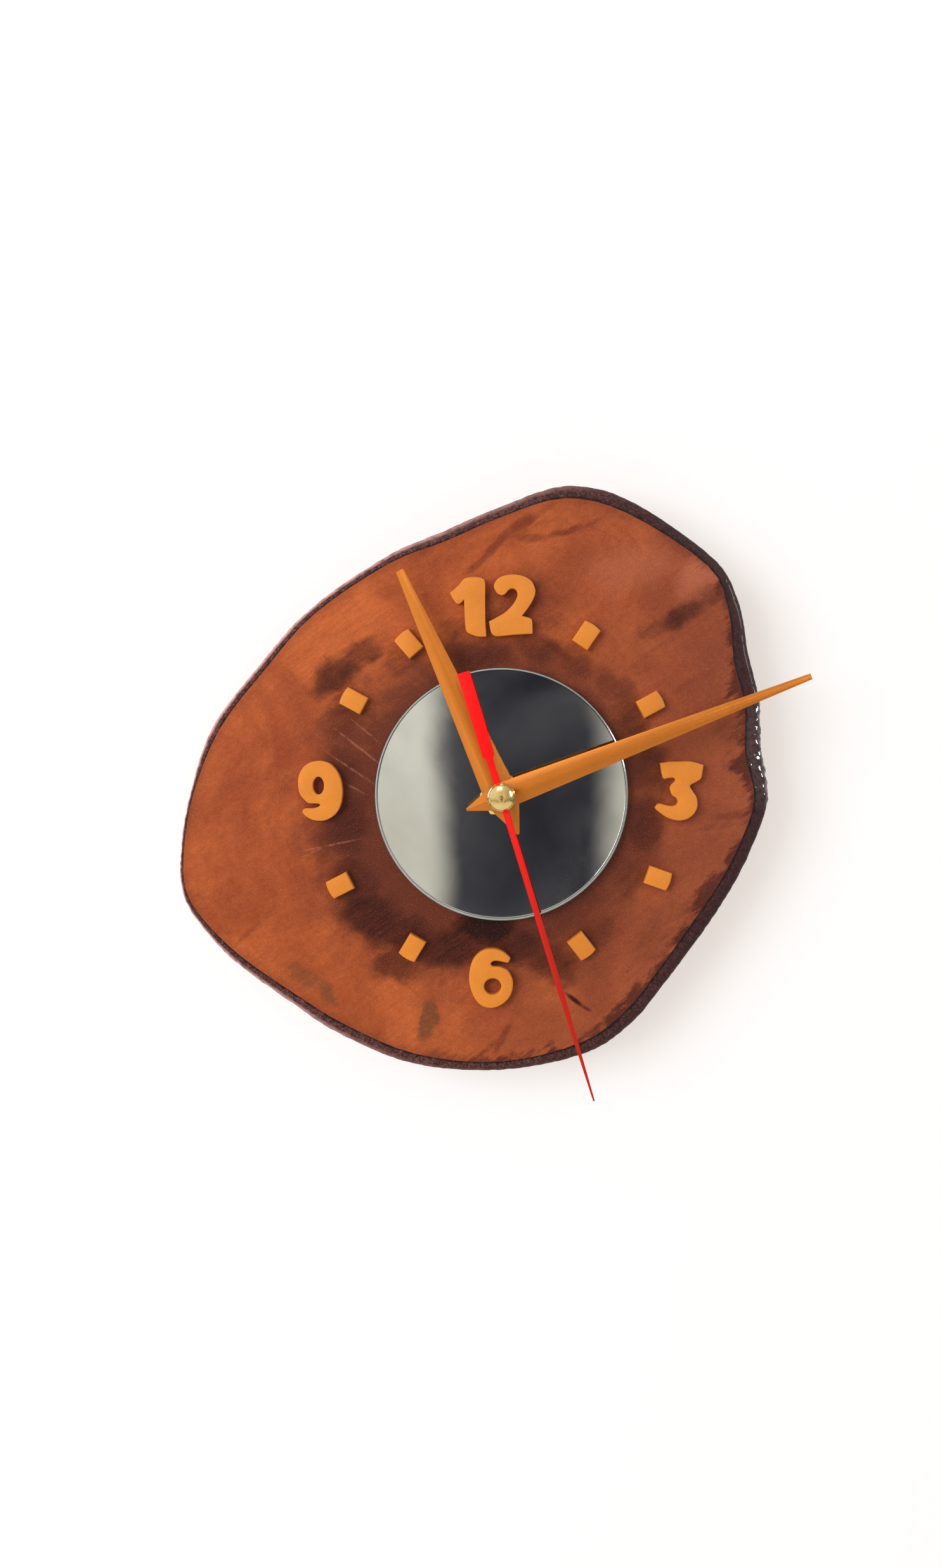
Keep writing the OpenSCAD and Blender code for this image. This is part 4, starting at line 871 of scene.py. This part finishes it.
# %% Battery
BAND_FROM, BAND_TO = 13.5, 9.5
BARE_TOP, BARE_BASE = 2.0, 0.7
cell = extent(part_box("battery"))
tree, shader, place = finish("battery_jacket")
along = parts(tree, place)[0]
skin = use(tree, speckle, Place=place, Grain=3.0, Contrast=1.0)
band = times(
    tree, calc(tree, "GREATER_THAN", along, cell.right - BAND_FROM),
    calc(tree, "LESS_THAN", along, cell.right - BAND_TO),
)
steel = calc(
    tree, "MAXIMUM", calc(tree, "GREATER_THAN", along, cell.right - BARE_TOP),
    calc(tree, "LESS_THAN", along, cell.left + BARE_BASE),
)
jacket = coats(
    tree, tint(tree, skin["Tone"], rgb(22, 62, 48), rgb(32, 78, 60)),
    (band, 1, rgb(206, 204, 190)),
    (steel, 1, rgb(196, 196, 196)),
)
feed(
    tree, shader, Base_Color=jacket, Metallic=steel,
    Roughness=between(tree, skin["Tone"], 0.2, 0.8, 0.22, 0.36),
    Normal=relief(tree, skin["Height"], 0.02, 0.4),
)
print(f"battery {cell.right - cell.left:.1f} mm long")

# %% [markdown]
# A mirror is a glass disc with silver behind it. The silver is what reflects. The ground edge
# of the glass scatters light, so it looks like pale grey-green frosting with a soft shine.

# %% Glass and silver
tree, shader, place = finish(
    "mirror_glass", Transmission_Weight=1.0, IOR=1.52, Base_Color=(0.93, 0.97, 0.95, 1),
)
smear = mottle(tree, place, 0.2, 4.0, 0.6, 0.6)
feed(tree, shader, Roughness=between(tree, smear, 0.45, 0.8, 0.0, 0.03))

tree, shader, place = finish("mirror_silver", Metallic=1.0)
cloudy = mottle(tree, place, 0.08, 4.0, 0.6, 0.4)
feed(
    tree, shader, Base_Color=tint(tree, cloudy, rgb(214, 218, 218), rgb(232, 236, 236)),
    Roughness=between(tree, cloudy, 0.3, 0.7, 0.015, 0.05),
)
painted(
    "ground_glass", rgb(112, 122, 120), rgb(160, 170, 166), 2.6, 1.2, 0.03, 0.16, 0.3,
    Coat_Weight=0.6, Coat_Roughness=0.1,
)
print(len(finishes), "finishes")


# %% [markdown]
# ## Helpers for pieces
#
# A piece is a mesh that stands in its place, takes a finish and rides on a body. Most of the
# CAD solids already have the right shape. Some need their sharp edges eased, as a cutter, a
# mould or a sanding block leaves them, so one helper copies a solid, joins its triangles into
# whole faces again and rounds the edges that it is asked for.


# %% Piece helpers
BODY_OF = {n: b for b, ns in frame["record"]["behaviour"]["bodies"].items() for n in ns}
SHARP = math.radians(32)
JOIN = 2e-6


def add_piece(name, mesh, body, slot, material=None, replaces=()):
    """Puts a mesh in the scene as a piece of the clock."""
    piece = bpy.data.objects.new(name, mesh)
    bpy.context.scene.collection.objects.link(piece)
    mesh.materials.clear()
    mesh.materials.append(finishes[material or slot])
    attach(piece, body)
    if replaces:
        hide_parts(*replaces)
    return piece


def smooth_faces(mesh, angle):
    """Smooth shading, except over edges sharper than the angle."""
    mesh.shade_smooth()
    mesh.set_sharp_from_angle(angle=math.radians(angle))


def mesh_of(name, work, angle=30):
    mesh = bpy.data.meshes.new(name)
    work.to_mesh(mesh)
    work.free()
    smooth_faces(mesh, angle)
    return mesh


def split_large(work):
    """Faces with many corners become triangles, as they may be hollow or bent."""
    bmesh.ops.triangulate(work, faces=[f for f in work.faces if len(f.verts) > 4])


def eased(node, slot, width, segments, chosen=None):
    """Replaces a CAD solid by a copy whose sharp edges are rounded by some millimetres."""
    work = bmesh.new()
    work.from_mesh(frame["nodes"][node].data)
    bmesh.ops.remove_doubles(work, verts=work.verts, dist=JOIN)
    bmesh.ops.dissolve_limit(
        work, angle_limit=math.radians(0.6), verts=work.verts, edges=work.edges,
    )
    edges = [
        e for e in work.edges
        if e.is_manifold and e.calc_face_angle(0) > SHARP and (chosen is None or chosen(e))
    ]
    bmesh.ops.bevel(
        work, geom=edges, offset=width * MM, segments=segments, profile=0.5, affect="EDGES",
        clamp_overlap=True,
    )
    split_large(work)
    mesh = mesh_of(node + "_eased", work, 40)
    return add_piece(node + "_eased", mesh, BODY_OF[node], slot, replaces=[node])


def loft(rows_of_points):
    """Quads through rows of points. Every row is a closed loop, and so is the row of rows."""
    work = bmesh.new()
    rows = [[work.verts.new(p) for p in row] for row in rows_of_points]
    for i, here in enumerate(rows):
        there = rows[(i + 1) % len(rows)]
        for j in range(len(here)):
            k = (j + 1) % len(here)
            work.faces.new((here[j], here[k], there[k], there[j]))
    bmesh.ops.recalc_face_normals(work, faces=work.faces)
    return work


print("helpers ready for", len(BODY_OF), "nodes")

# %% [markdown]
# ## The bark
#
# A smooth curve runs through the outline's points, once outside the bark and once inside.
# The bark's section is swept round it as a fine net of points, which leaves room for real
# furrows and flakes.

# %% Smooth outline
BARK_STEPS = 28


def smooth_outline(points, steps):
    """The closed curve that the CAD model draws through the same points."""
    made = []
    for i, a in enumerate(points):
        before, b = points[i - 1], points[(i + 1) % len(points)]
        after = points[(i + 2) % len(points)]
        lead, tail = (b - before) / 2, (after - a) / 2
        for k in range(steps):
            t = k / steps
            made.append(
                (2 * t**3 - 3 * t**2 + 1) * a + (t**3 - 2 * t**2 + t) * lead
                + (3 * t**2 - 2 * t**3) * b + (t**3 - t**2) * tail
            )
    return made


edge, wood_edge = [], []
for angle, past, bark in SLICE:
    edge.append(clock_point(SLICE_R + past, angle))
    wood_edge.append(clock_point(SLICE_R + past - bark, angle))
outside = smooth_outline(edge, BARK_STEPS)
inside = smooth_outline(wood_edge, BARK_STEPS)
print(len(outside), "steps round the bark")

# %% [markdown]
# The section goes up the inner wall, across the front, over the rounded edge, down the
# outside and back. Each point also remembers how far across the bark it lies, how freely it
# may move, and how near it is to the place where the varnish ran. The next tree and the
# finish read these numbers as attributes.

# %% Bark section
FRONT_ROUND, BACK_ROUND = 2.6, 1.2
FRONT_COUNT, ARC_COUNT, SIDE_COUNT, BACK_COUNT = 9, 7, 22, 3
SIDE_FREEDOM = 3.2
SIDE_SHARE = 1.1
RUN_HEIGHT, RUN_HALF, RUN_FADE = 13, 19, 1.6


def bark_points(inner, outer):
    """The section between two points of the outlines, as (place, share across, freedom)."""
    width = (outer - inner).length
    along = (outer - inner) / width
    front = min(FRONT_ROUND, 0.8 * width)
    back = min(BACK_ROUND, 0.5 * width)
    section = [(0.0, 0.0, 0.0, 0.0), (0.0, FACE - 0.5, 0.0, 0.0)]
    for k in range(FRONT_COUNT):
        t = k / FRONT_COUNT
        section.append((t * (width - front), FACE, t * (width - front) / width, min(1, 3 * t)))
    for k in range(ARC_COUNT):
        turn = math.pi / 2 * k / ARC_COUNT
        reach = width - front + front * math.sin(turn)
        section.append((reach, FACE - front * (1 - math.cos(turn)), reach / width, 1.0))
    for k in range(SIDE_COUNT):
        t = k / SIDE_COUNT
        free = 1 + SIDE_FREEDOM * math.sin(math.pi * t)
        section.append((width, FACE - front + t * (back + front - FACE), SIDE_SHARE, free))
    for k in range(BACK_COUNT + 1):
        turn = math.pi / 2 * k / BACK_COUNT
        reach = width - back + back * math.cos(turn)
        section.append((reach, back * (1 - math.sin(turn)), 1.0, 1 - k / BACK_COUNT))
    return [
        (on_dial(inner.x + along.x * r, inner.y + along.y * r, z), share, free)
        for r, z, share, free in section
    ]


def run_at(place, share, free):
    """How thick the varnish ran here, from 0 to 1. On the side it is thinner."""
    if place.x <= ARBOR.x:
        return 0.0
    off_middle = (place.z - ARBOR.z) / MM - RUN_HEIGHT
    near = max(0.0, min(1.0, RUN_FADE - RUN_FADE * (off_middle / RUN_HALF) ** 2))
    return near * min(1.0, free) * (1.0 if share < SIDE_SHARE - 0.05 else 0.4)


sections = [bark_points(a, b) for a, b in zip(inside, outside)]
work = loft([[place for place, share, free in section] for section in sections])
across_layer, free_layer, run_layer = (
    work.verts.layers.float.new(name) for name in ("across", "free", "run")
)
for vert, (place, share, free) in zip(work.verts, sum(sections, [])):
    vert[across_layer] = share
    vert[free_layer] = free
    vert[run_layer] = run_at(place, share, free)
bark_mesh = mesh_of("bark_base", work, 60)
print("bark net of", len(bark_mesh.polygons), "faces")

# %% [markdown]
# Geometry Nodes then weather the net. Noise that is stretched along the trunk pushes the
# surface in and out as furrows, and finer noise breaks it into flakes. The attribute named
# free holds the inner wall and the back still, so the bark keeps fitting the wood, and it
# lets the side go deeper than the front. The attribute named crack tells the finish where a
# furrow is.

# %% Geometry Nodes helpers
GEOMETRY, MATERIAL = "NodeSocketGeometry", "NodeSocketMaterial"


def geometry_tree(name, inputs):
    """An empty Geometry Nodes tree that takes a mesh, the named inputs and a material."""
    tree = bpy.data.node_groups.new(name, "GeometryNodeTree")
    tree.interface.new_socket(name="Geometry", in_out="INPUT", socket_type=GEOMETRY)
    for title, kind, value in inputs:
        socket = tree.interface.new_socket(name=title, in_out="INPUT", socket_type=kind)
        socket.default_value = value
    tree.interface.new_socket(name="Material", in_out="INPUT", socket_type=MATERIAL)
    tree.interface.new_socket(name="Geometry", in_out="OUTPUT", socket_type=GEOMETRY)
    return tree, tree.nodes.new("NodeGroupInput").outputs


def close_tree(tree, shape, given):
    """Every tree ends in real geometry with its material set."""
    real = put(tree, "GeometryNodeRealizeInstances", {0: shape.outputs[0]}).outputs[0]
    inputs = {"Geometry": real, "Material": given["Material"]}
    named = put(tree, "GeometryNodeSetMaterial", inputs).outputs[0]
    tree.links.new(named, tree.nodes.new("NodeGroupOutput").inputs[0])


def grown(name, base, tree, angle=40, **inputs):
    """Runs a tree on a mesh and returns the result as a plain mesh."""
    carrier = bpy.data.objects.new(name + "_carrier", base)
    bpy.context.scene.collection.objects.link(carrier)
    modifier = carrier.modifiers.new(name, "NODES")
    modifier.node_group = tree
    for item in tree.interface.items_tree:
        title = item.name.replace(" ", "_")
        if item.in_out == "INPUT" and title in inputs:
            modifier[item.identifier] = inputs[title]
    shape = carrier.evaluated_get(bpy.context.evaluated_depsgraph_get())
    mesh = bpy.data.meshes.new_from_object(shape)
    mesh.name = name
    carrier.modifiers.remove(modifier)
    bpy.data.objects.remove(carrier)
    smooth_faces(mesh, angle)
    return mesh


print("geometry helpers ready")

# %% [markdown]
# The seed moves all the noise at once. Cracks are the lines where two cells of a Voronoi
# pattern meet. The ripple is only there where the varnish ran, so the run looks thick.

# %% Weather the bark
weather, given = geometry_tree("weathered_bark", [
    ("Furrow Depth", FLOAT, 0.001), ("Flake Depth", FLOAT, 0.0005),
    ("Furrow Spacing", FLOAT, 0.004), ("Run Depth", FLOAT, 0.0003),
    ("Seed", VECTOR, (0, 0, 0)),
])
at = put(weather, "GeometryNodeInputPosition").outputs[0]
at = vector_calc(weather, "ADD", at, given["Seed"])
along_trunk = vector_calc(weather, "MULTIPLY", at, (1, 0.22, 1))
cells = {"Vector": along_trunk, "Scale": calc(weather, "DIVIDE", 1.0, given["Furrow Spacing"])}
to_edge = put(weather, "ShaderNodeTexVoronoi", cells, feature="DISTANCE_TO_EDGE")
to_edge = to_edge.outputs["Distance"]
crack = between(weather, to_edge, 0.02, 0.13, 1.0, 0.0)
furrow = between(weather, to_edge, 0.0, 0.2, -1.0, 0.0)
lump = minus(weather, mottle(weather, along_trunk, 90.0, 4.0, 0.6), 0.55)
free, run = (
    put(weather, "GeometryNodeInputNamedAttribute", {"Name": name}, data_type="FLOAT").outputs[0]
    for name in ("free", "run")
)
rise = times(weather, plus(weather, furrow, lump), given["Furrow Depth"], free)
flake = swing(weather, mottle(weather, at, 520.0, 3.0, 0.7), given["Flake Depth"])
flake = times(weather, flake, calc(weather, "MINIMUM", free, 1.4))
ripple = minus(weather, mottle(weather, at, 640.0, 2.0, 0.6, 0.0, 0.1), 0.5)
ripple = times(weather, ripple, run, given["Run Depth"])
outward = put(weather, "GeometryNodeInputNormal").outputs[0]
push = {0: outward, "Scale": plus(weather, rise, flake, ripple)}
push = put(weather, "ShaderNodeVectorMath", push, operation="SCALE").outputs[0]
marked = put(
    weather, "GeometryNodeStoreNamedAttribute",
    {"Geometry": given["Geometry"], "Name": "crack", "Value": crack},
    data_type="FLOAT", domain="POINT",
).outputs[0]
moved = put(weather, "GeometryNodeSetPosition", {"Geometry": marked, "Offset": push})
close_tree(weather, moved, given)

bark_mesh = grown(
    "bark_weathered", bark_mesh, weather, 60, Furrow_Depth=0.12 * MM, Flake_Depth=0.3 * MM,
    Furrow_Spacing=4.5 * MM, Run_Depth=1.5 * MM, Seed=(4.0, 2.0, 7.0),
    Material=finishes["bark"],
)
add_piece("bark_weathered", bark_mesh, "clock_body", "bark", replaces=["bark_ring"])
print("bark of", len(bark_mesh.polygons), "faces")

# %% [markdown]
# ## The numerals and markers
#
# They were cut from thin sheet and painted, and the paint rounds their front edges. Only the
# edges away from the wood are eased, as the back lies flat on the dial.


# %% Ease the numerals
PAINT_EASE, CLEAR_OF_DIAL = 0.4, 1.0


def off_the_dial(edge):
    return all(v.co.y < FACE_Y - CLEAR_OF_DIAL * MM for v in edge.verts)


for node in ("numeral_12", "numeral_3", "numeral_6", "numeral_9", "hour_markers"):
    piece = eased(node, "numeral_wood", PAINT_EASE, 3, off_the_dial)
    print(piece.name, len(piece.data.polygons))

# %% [markdown]
# ## The mirror
#
# The solid mirror becomes a glass disc with a film of silver behind it, and a ground edge
# round it, where the grinding stone left the glass white. All three are turned shapes: a
# profile goes once round the arbor. A hair's breadth stays open between them, as faces that
# share a place flicker.


# %% Turned shapes
TURNING_STEPS = 128


def lathe(profile):
    """Turns a closed profile of (radius, height from the wall) once round the arbor."""
    rows = []
    for i in range(TURNING_STEPS):
        turn = 2 * math.pi * i / TURNING_STEPS
        rows.append([on_dial(r * math.cos(turn), r * math.sin(turn), z) for r, z in profile])
    return loft(rows)


mirror = extent(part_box("mirror"))
MIRROR_R = (mirror.right - mirror.left) / 2
MIRROR_HOLE = 4.3
SILVER, SILVER_IN = 0.12, 0.1
GROUND, GAP = 0.45, 0.02
GLASS_EDGE, HOLE_EDGE, GROUND_EDGE = 0.04, 0.2, 0.03
BACK_CUT, FRONT_CUT, FRONT_STEP = 0.25, 0.5, 0.12
glass_r = MIRROR_R - GROUND - GAP
silver_hole, silver_r = MIRROR_HOLE + 0.15, glass_r - SILVER_IN
glass_back, silver_front = mirror.back + SILVER, mirror.back + SILVER - GAP
glass_profile = [
    (MIRROR_HOLE, glass_back), (glass_r, glass_back), (glass_r, mirror.front - GLASS_EDGE),
    (glass_r - GLASS_EDGE, mirror.front), (MIRROR_HOLE + HOLE_EDGE, mirror.front),
    (MIRROR_HOLE, mirror.front - HOLE_EDGE),
]
silver_profile = [
    (silver_hole, mirror.back), (silver_r, mirror.back), (silver_r, silver_front),
    (silver_hole, silver_front),
]
ground_profile = [
    (glass_r + GAP, mirror.back), (MIRROR_R - BACK_CUT, mirror.back),
    (MIRROR_R, mirror.back + BACK_CUT), (MIRROR_R, mirror.front - FRONT_CUT),
    (MIRROR_R - FRONT_STEP, mirror.front - FRONT_CUT / 2),
    (glass_r + GAP, mirror.front - GROUND_EDGE),
]
for name, profile, angle, finish_name, replaced in (
    ("mirror_disc", glass_profile, 12, "mirror_glass", ["mirror"]),
    ("mirror_silvering", silver_profile, 30, "mirror_silver", []),
    ("mirror_ground_edge", ground_profile, 12, "ground_glass", []),
):
    mesh = mesh_of(name, lathe(profile), angle)
    add_piece(name, mesh, "clock_body", "mirror_glass", finish_name, replaced)
print(f"mirror {2 * MIRROR_R:.1f} mm across")

# %% [markdown]
# ## The nut
#
# A nut is a hexagon whose corners were cut back by a cone. Going round it in small steps, the
# distance to the flats is known at each angle, and the cone takes a little off the top where
# that distance is large. The bushing under it stays as it is, as its solid has the thread.

# %% Hexagon nut
solid_nut = extent(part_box("fixing_nut"))
FLAT_R = (solid_nut.top - solid_nut.bottom) / 2
LIP_R = 0.96 * FLAT_R
CONE = math.tan(math.radians(30))
BORE_R, BORE_CUT = 4.05, 0.3
NUT_STEPS = 120
SIXTH = math.pi / 3


def nut_row(turn):
    """The nut's section at an angle, from its bore out over both cut corners and back."""
    reach = FLAT_R / math.cos((turn + SIXTH / 2) % SIXTH - SIXTH / 2)
    cut = (reach - LIP_R) * CONE
    back, front = solid_nut.back, solid_nut.front
    profile = [
        (BORE_R, back + BORE_CUT), (BORE_R + BORE_CUT, back), (LIP_R, back), (reach, back + cut),
        (reach, front - cut), (LIP_R, front), (BORE_R + BORE_CUT, front),
        (BORE_R, front - BORE_CUT),
    ]
    return [on_dial(r * math.sin(turn), r * math.cos(turn), z) for r, z in profile]


nut = loft([nut_row(2 * math.pi * (i + 0.5) / NUT_STEPS) for i in range(NUT_STEPS)])
nut = mesh_of("fixing_nut_cut", nut, 25)
add_piece("fixing_nut_cut", nut, "clock_body", "bright_brass", replaces=["fixing_nut"])
print(f"nut {2 * FLAT_R:.1f} mm across its flats")

# %% [markdown]
# ## Sheet metal and moulded pieces
#
# The hands are stamped from thin sheet, and the case is moulded. Neither has a truly sharp
# edge, and a rounded edge catches a line of light.

# %% Ease the other pieces
for node, slot, width in (
    ("hour_hand", "gold_hand", 0.1), ("minute_hand", "gold_hand", 0.1),
    ("second_hand", "red_enamel", 0.1), ("brass_washer", "bright_brass", 0.12),
    ("movement_case", "case_plastic", 0.25), ("back_cover", "case_plastic", 0.18),
    ("setting_knob", "knob_plastic", 0.12), ("battery", "battery_jacket", 0.35),
):
    piece = eased(node, slot, width, 2)
    print(piece.name, len(piece.data.polygons))

# %% [markdown]
# ## Raised details on the back
#
# A moulded cover has a low border, a field of grip ribs, a double arrow beside the knob, and
# a plus and a minus that say which way the battery goes in. All of them are flat outlines
# raised by a fraction of a millimetre, with their outer edges eased. The ribs are one rib,
# which Geometry Nodes repeat in a row.


# %% Raised outlines
OUTER_EASE = 0.16


def raised(name, outline, foot, top):
    """A flat outline in millimetres, raised from foot to top, both measured from the wall."""
    work = bmesh.new()
    low = [work.verts.new(on_dial(x, y, foot)) for x, y in outline]
    high = [work.verts.new(on_dial(x, y, top)) for x, y in outline]
    work.faces.new(low)
    work.faces.new(high)
    for i in range(len(outline)):
        k = (i + 1) % len(outline)
        work.faces.new((low[i], low[k], high[k], high[i]))
    rim = [e for e in work.edges if all(v in high for v in e.verts)]
    bmesh.ops.bevel(
        work, geom=rim, offset=OUTER_EASE * MM, segments=2, profile=0.5, affect="EDGES",
    )
    split_large(work)
    bmesh.ops.recalc_face_normals(work, faces=work.faces)
    return mesh_of(name, work, 40)


def bar_outline(x, y, half_length, half_width):
    """A bar with round ends."""
    steps = 8
    made = []
    for side in (1, -1):
        for k in range(steps + 1):
            turn = math.pi * (k / steps - 0.5) + (0 if side > 0 else math.pi)
            made.append((
                x + side * (half_length - half_width) + half_width * math.cos(turn),
                y + half_width * math.sin(turn),
            ))
    return made


def arrow_outline(x, y, radius, start, end, half_width, head):
    """A double arrow that follows an arc, in degrees counted from the right."""
    tip = math.degrees(2.2 * head / radius)
    steps = [start + tip + k * (end - start - 2 * tip) / 16 for k in range(17)]
    corners = [
        (radius, start), (radius + head, start + tip), *((radius + half_width, t) for t in steps),
        (radius + head, end - tip), (radius, end), (radius - head, end - tip),
        *((radius - half_width, t) for t in reversed(steps)), (radius - head, start + tip),
    ]
    return [
        (x + r * math.cos(math.radians(t)), y + r * math.sin(math.radians(t)))
        for r, t in corners
    ]


print("outlines ready")

# %% [markdown]
# One rib is made first. Geometry Nodes then put a copy of it on each point of a line, and the
# count and the step are inputs, so the field of ribs can be made wider or closer.

# %% Ribs in a row
cover = extent(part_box("back_cover"))
PROUD, SUNK = 0.6, 0.3
RIB_PLACE, RIB_SIZE, RIB_COUNT, RIB_STEP = (-12.2, -0.9), (11.2, 0.6), 8, 3.3
foot, top = cover.back + SUNK, cover.back - PROUD
row_tree, given = geometry_tree(
    "row_of", [("Count", "NodeSocketInt", 8), ("Step", VECTOR, (0, 0, 0))],
)
line = put(row_tree, "GeometryNodeMeshLine", {"Count": given["Count"], "Offset": given["Step"]})
copies = {"Points": line.outputs[0], "Instance": given["Geometry"]}
close_tree(row_tree, put(row_tree, "GeometryNodeInstanceOnPoints", copies), given)

rib = raised("rib", bar_outline(*RIB_PLACE, *RIB_SIZE), foot, top)
ribs = grown(
    "cover_ribs", rib, row_tree, Count=RIB_COUNT, Step=(0.0, 0.0, RIB_STEP * MM),
    Material=finishes["case_plastic"],
)
add_piece("cover_ribs", ribs, "clock_body", "case_plastic")
print("ribs of", len(ribs.polygons), "faces")

# %% [markdown]
# The border is a small section, given from its inner to its outer foot, that is carried round
# four corners. The marks stand on the cover and the grip on the knob, all a little sunk in so
# that no gap shows. The plus is one quarter, turned and turned again.

# %% Cover and knob
CORNER_X, CORNER_Y, CORNER_STEPS = 5.2, 4.4, 6
BORDER_IN, BORDER_OUT, BORDER_PROUD, BORDER_EASE = 2.0, 2.8, 0.45, 0.15
border_top = cover.back - BORDER_PROUD
border_profile = [
    (BORDER_IN, foot), (BORDER_IN, border_top + BORDER_EASE),
    (BORDER_IN + BORDER_EASE, border_top), (BORDER_OUT - BORDER_EASE, border_top),
    (BORDER_OUT, border_top + BORDER_EASE), (BORDER_OUT, foot),
]
border = []
for k in range(4):
    x = (cover.right - CORNER_X) * (1 if k in (0, 3) else -1)
    y = cover.top - CORNER_Y if k < 2 else cover.bottom + CORNER_Y
    for step in range(CORNER_STEPS + 1):
        turn = math.pi / 2 * (k + step / CORNER_STEPS)
        border.append([
            on_dial(x + r * math.cos(turn), y + r * math.sin(turn), z) for r, z in border_profile
        ])
add_piece("cover_border", mesh_of("cover_border", loft(border), 25), "clock_body", "case_plastic")

knob = extent(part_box("setting_knob"))
knob_x, knob_y = (knob.left + knob.right) / 2, (knob.bottom + knob.top) / 2
MARK_X, MARK_Y = cover.right - 7.4, cover.bottom + 5.6
ARM, THIN = 2.1, 0.45
ARROW_R, ARROW_FROM, ARROW_TO, ARROW_THIN, ARROW_HEAD = 8.6, 40, 140, 0.4, 1.1
GRIP_SIZE, GRIP_PROUD, GRIP_SUNK = (4.4, 0.9), 0.3, 0.2
arrow = arrow_outline(knob_x, knob_y, ARROW_R, ARROW_FROM, ARROW_TO, ARROW_THIN, ARROW_HEAD)
quarter = [(THIN, THIN), (THIN, ARM), (-THIN, ARM)]
half = quarter + [(-y, x) for x, y in quarter]
plus_sign = half + [(-x, -y) for x, y in half]
for name, outline in (
    ("cover_plus", [(MARK_X + x, MARK_Y + y) for x, y in plus_sign]),
    ("cover_minus", bar_outline(-MARK_X, MARK_Y, ARM, THIN)),
    ("cover_arrow", arrow),
):
    add_piece(name, raised(name, outline, foot, top), "clock_body", "case_plastic")
grip = bar_outline(knob_x, knob_y, *GRIP_SIZE)
grip = raised("knob_grip", grip, knob.back + GRIP_SUNK, knob.back - GRIP_PROUD)
add_piece("knob_grip", grip, BODY_OF["setting_knob"], "knob_plastic")
print("border of", len(border), "steps")

# %% [markdown]
# The coil is one long copper wire round a bobbin. A Spiral curve gives its turns, and a small
# circle swept along it gives the wire. A plain sleeve underneath closes the gaps.

# %% Wind the coil
wound, given = geometry_tree("wound_wire", [
    ("Turns", FLOAT, 30.0), ("Radius", FLOAT, 0.003), ("Length", FLOAT, 0.02),
    ("Wire", FLOAT, 0.0003), ("Place", VECTOR, (0, 0, 0)),
])
spiral = put(wound, "GeometryNodeCurveSpiral", {
    "Resolution": 18, "Rotations": given["Turns"], "Start Radius": given["Radius"],
    "End Radius": given["Radius"], "Height": given["Length"],
})
lying = put(wound, "GeometryNodeTransform", {
    "Geometry": spiral.outputs[0], "Rotation": (0, math.pi / 2, 0), "Translation": given["Place"],
})
wire = put(wound, "GeometryNodeCurvePrimitiveCircle", {"Resolution": 6, "Radius": given["Wire"]})
close_tree(wound, put(wound, "GeometryNodeCurveToMesh", {
    "Curve": lying.outputs[0], "Profile Curve": wire.outputs[0], "Fill Caps": True,
}), given)

coil_low, coil_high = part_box("coil_winding")
coil_middle = (coil_low + coil_high) / 2
WIRE_R = 0.22 * MM
SLEEVE_R, SLEEVE_STEPS = 2.1 * MM, 24
coil_length = coil_high.x - coil_low.x
winding_r = (coil_high.z - coil_low.z) / 2 - WIRE_R
turns = int(coil_length / (2 * WIRE_R)) - 1
winding = grown(
    "coil_turns", bpy.data.meshes.new("bare"), wound, Turns=float(turns), Radius=winding_r,
    Length=coil_length - 2 * WIRE_R, Wire=WIRE_R,
    Place=(coil_low.x + WIRE_R, coil_middle.y, coil_middle.z), Material=finishes["copper_wire"],
)
add_piece("coil_turns", winding, "clock_body", "copper_wire", replaces=["coil_winding"])
sleeve_profile = [
    (coil_low.x, SLEEVE_R), (coil_high.x, SLEEVE_R), (coil_high.x, winding_r),
    (coil_low.x, winding_r),
]
sleeve = []
for k in range(SLEEVE_STEPS):
    turn = 2 * math.pi * k / SLEEVE_STEPS
    sleeve.append([
        Vector((x, coil_middle.y + r * math.cos(turn), coil_middle.z + r * math.sin(turn)))
        for x, r in sleeve_profile
    ])
add_piece("coil_sleeve", mesh_of("coil_sleeve", loft(sleeve)), "clock_body", "copper_wire")
print("coil of", turns, "turns")

# %% [markdown]
# ## The remaining solids
#
# Every solid that stays as it is gets its finish on its own material slots.

# %% Finish the solids
for name, node in frame["nodes"].items():
    for slot in node.material_slots:
        slot.material = finishes[slot.material.name]
print("all solids have a finish")
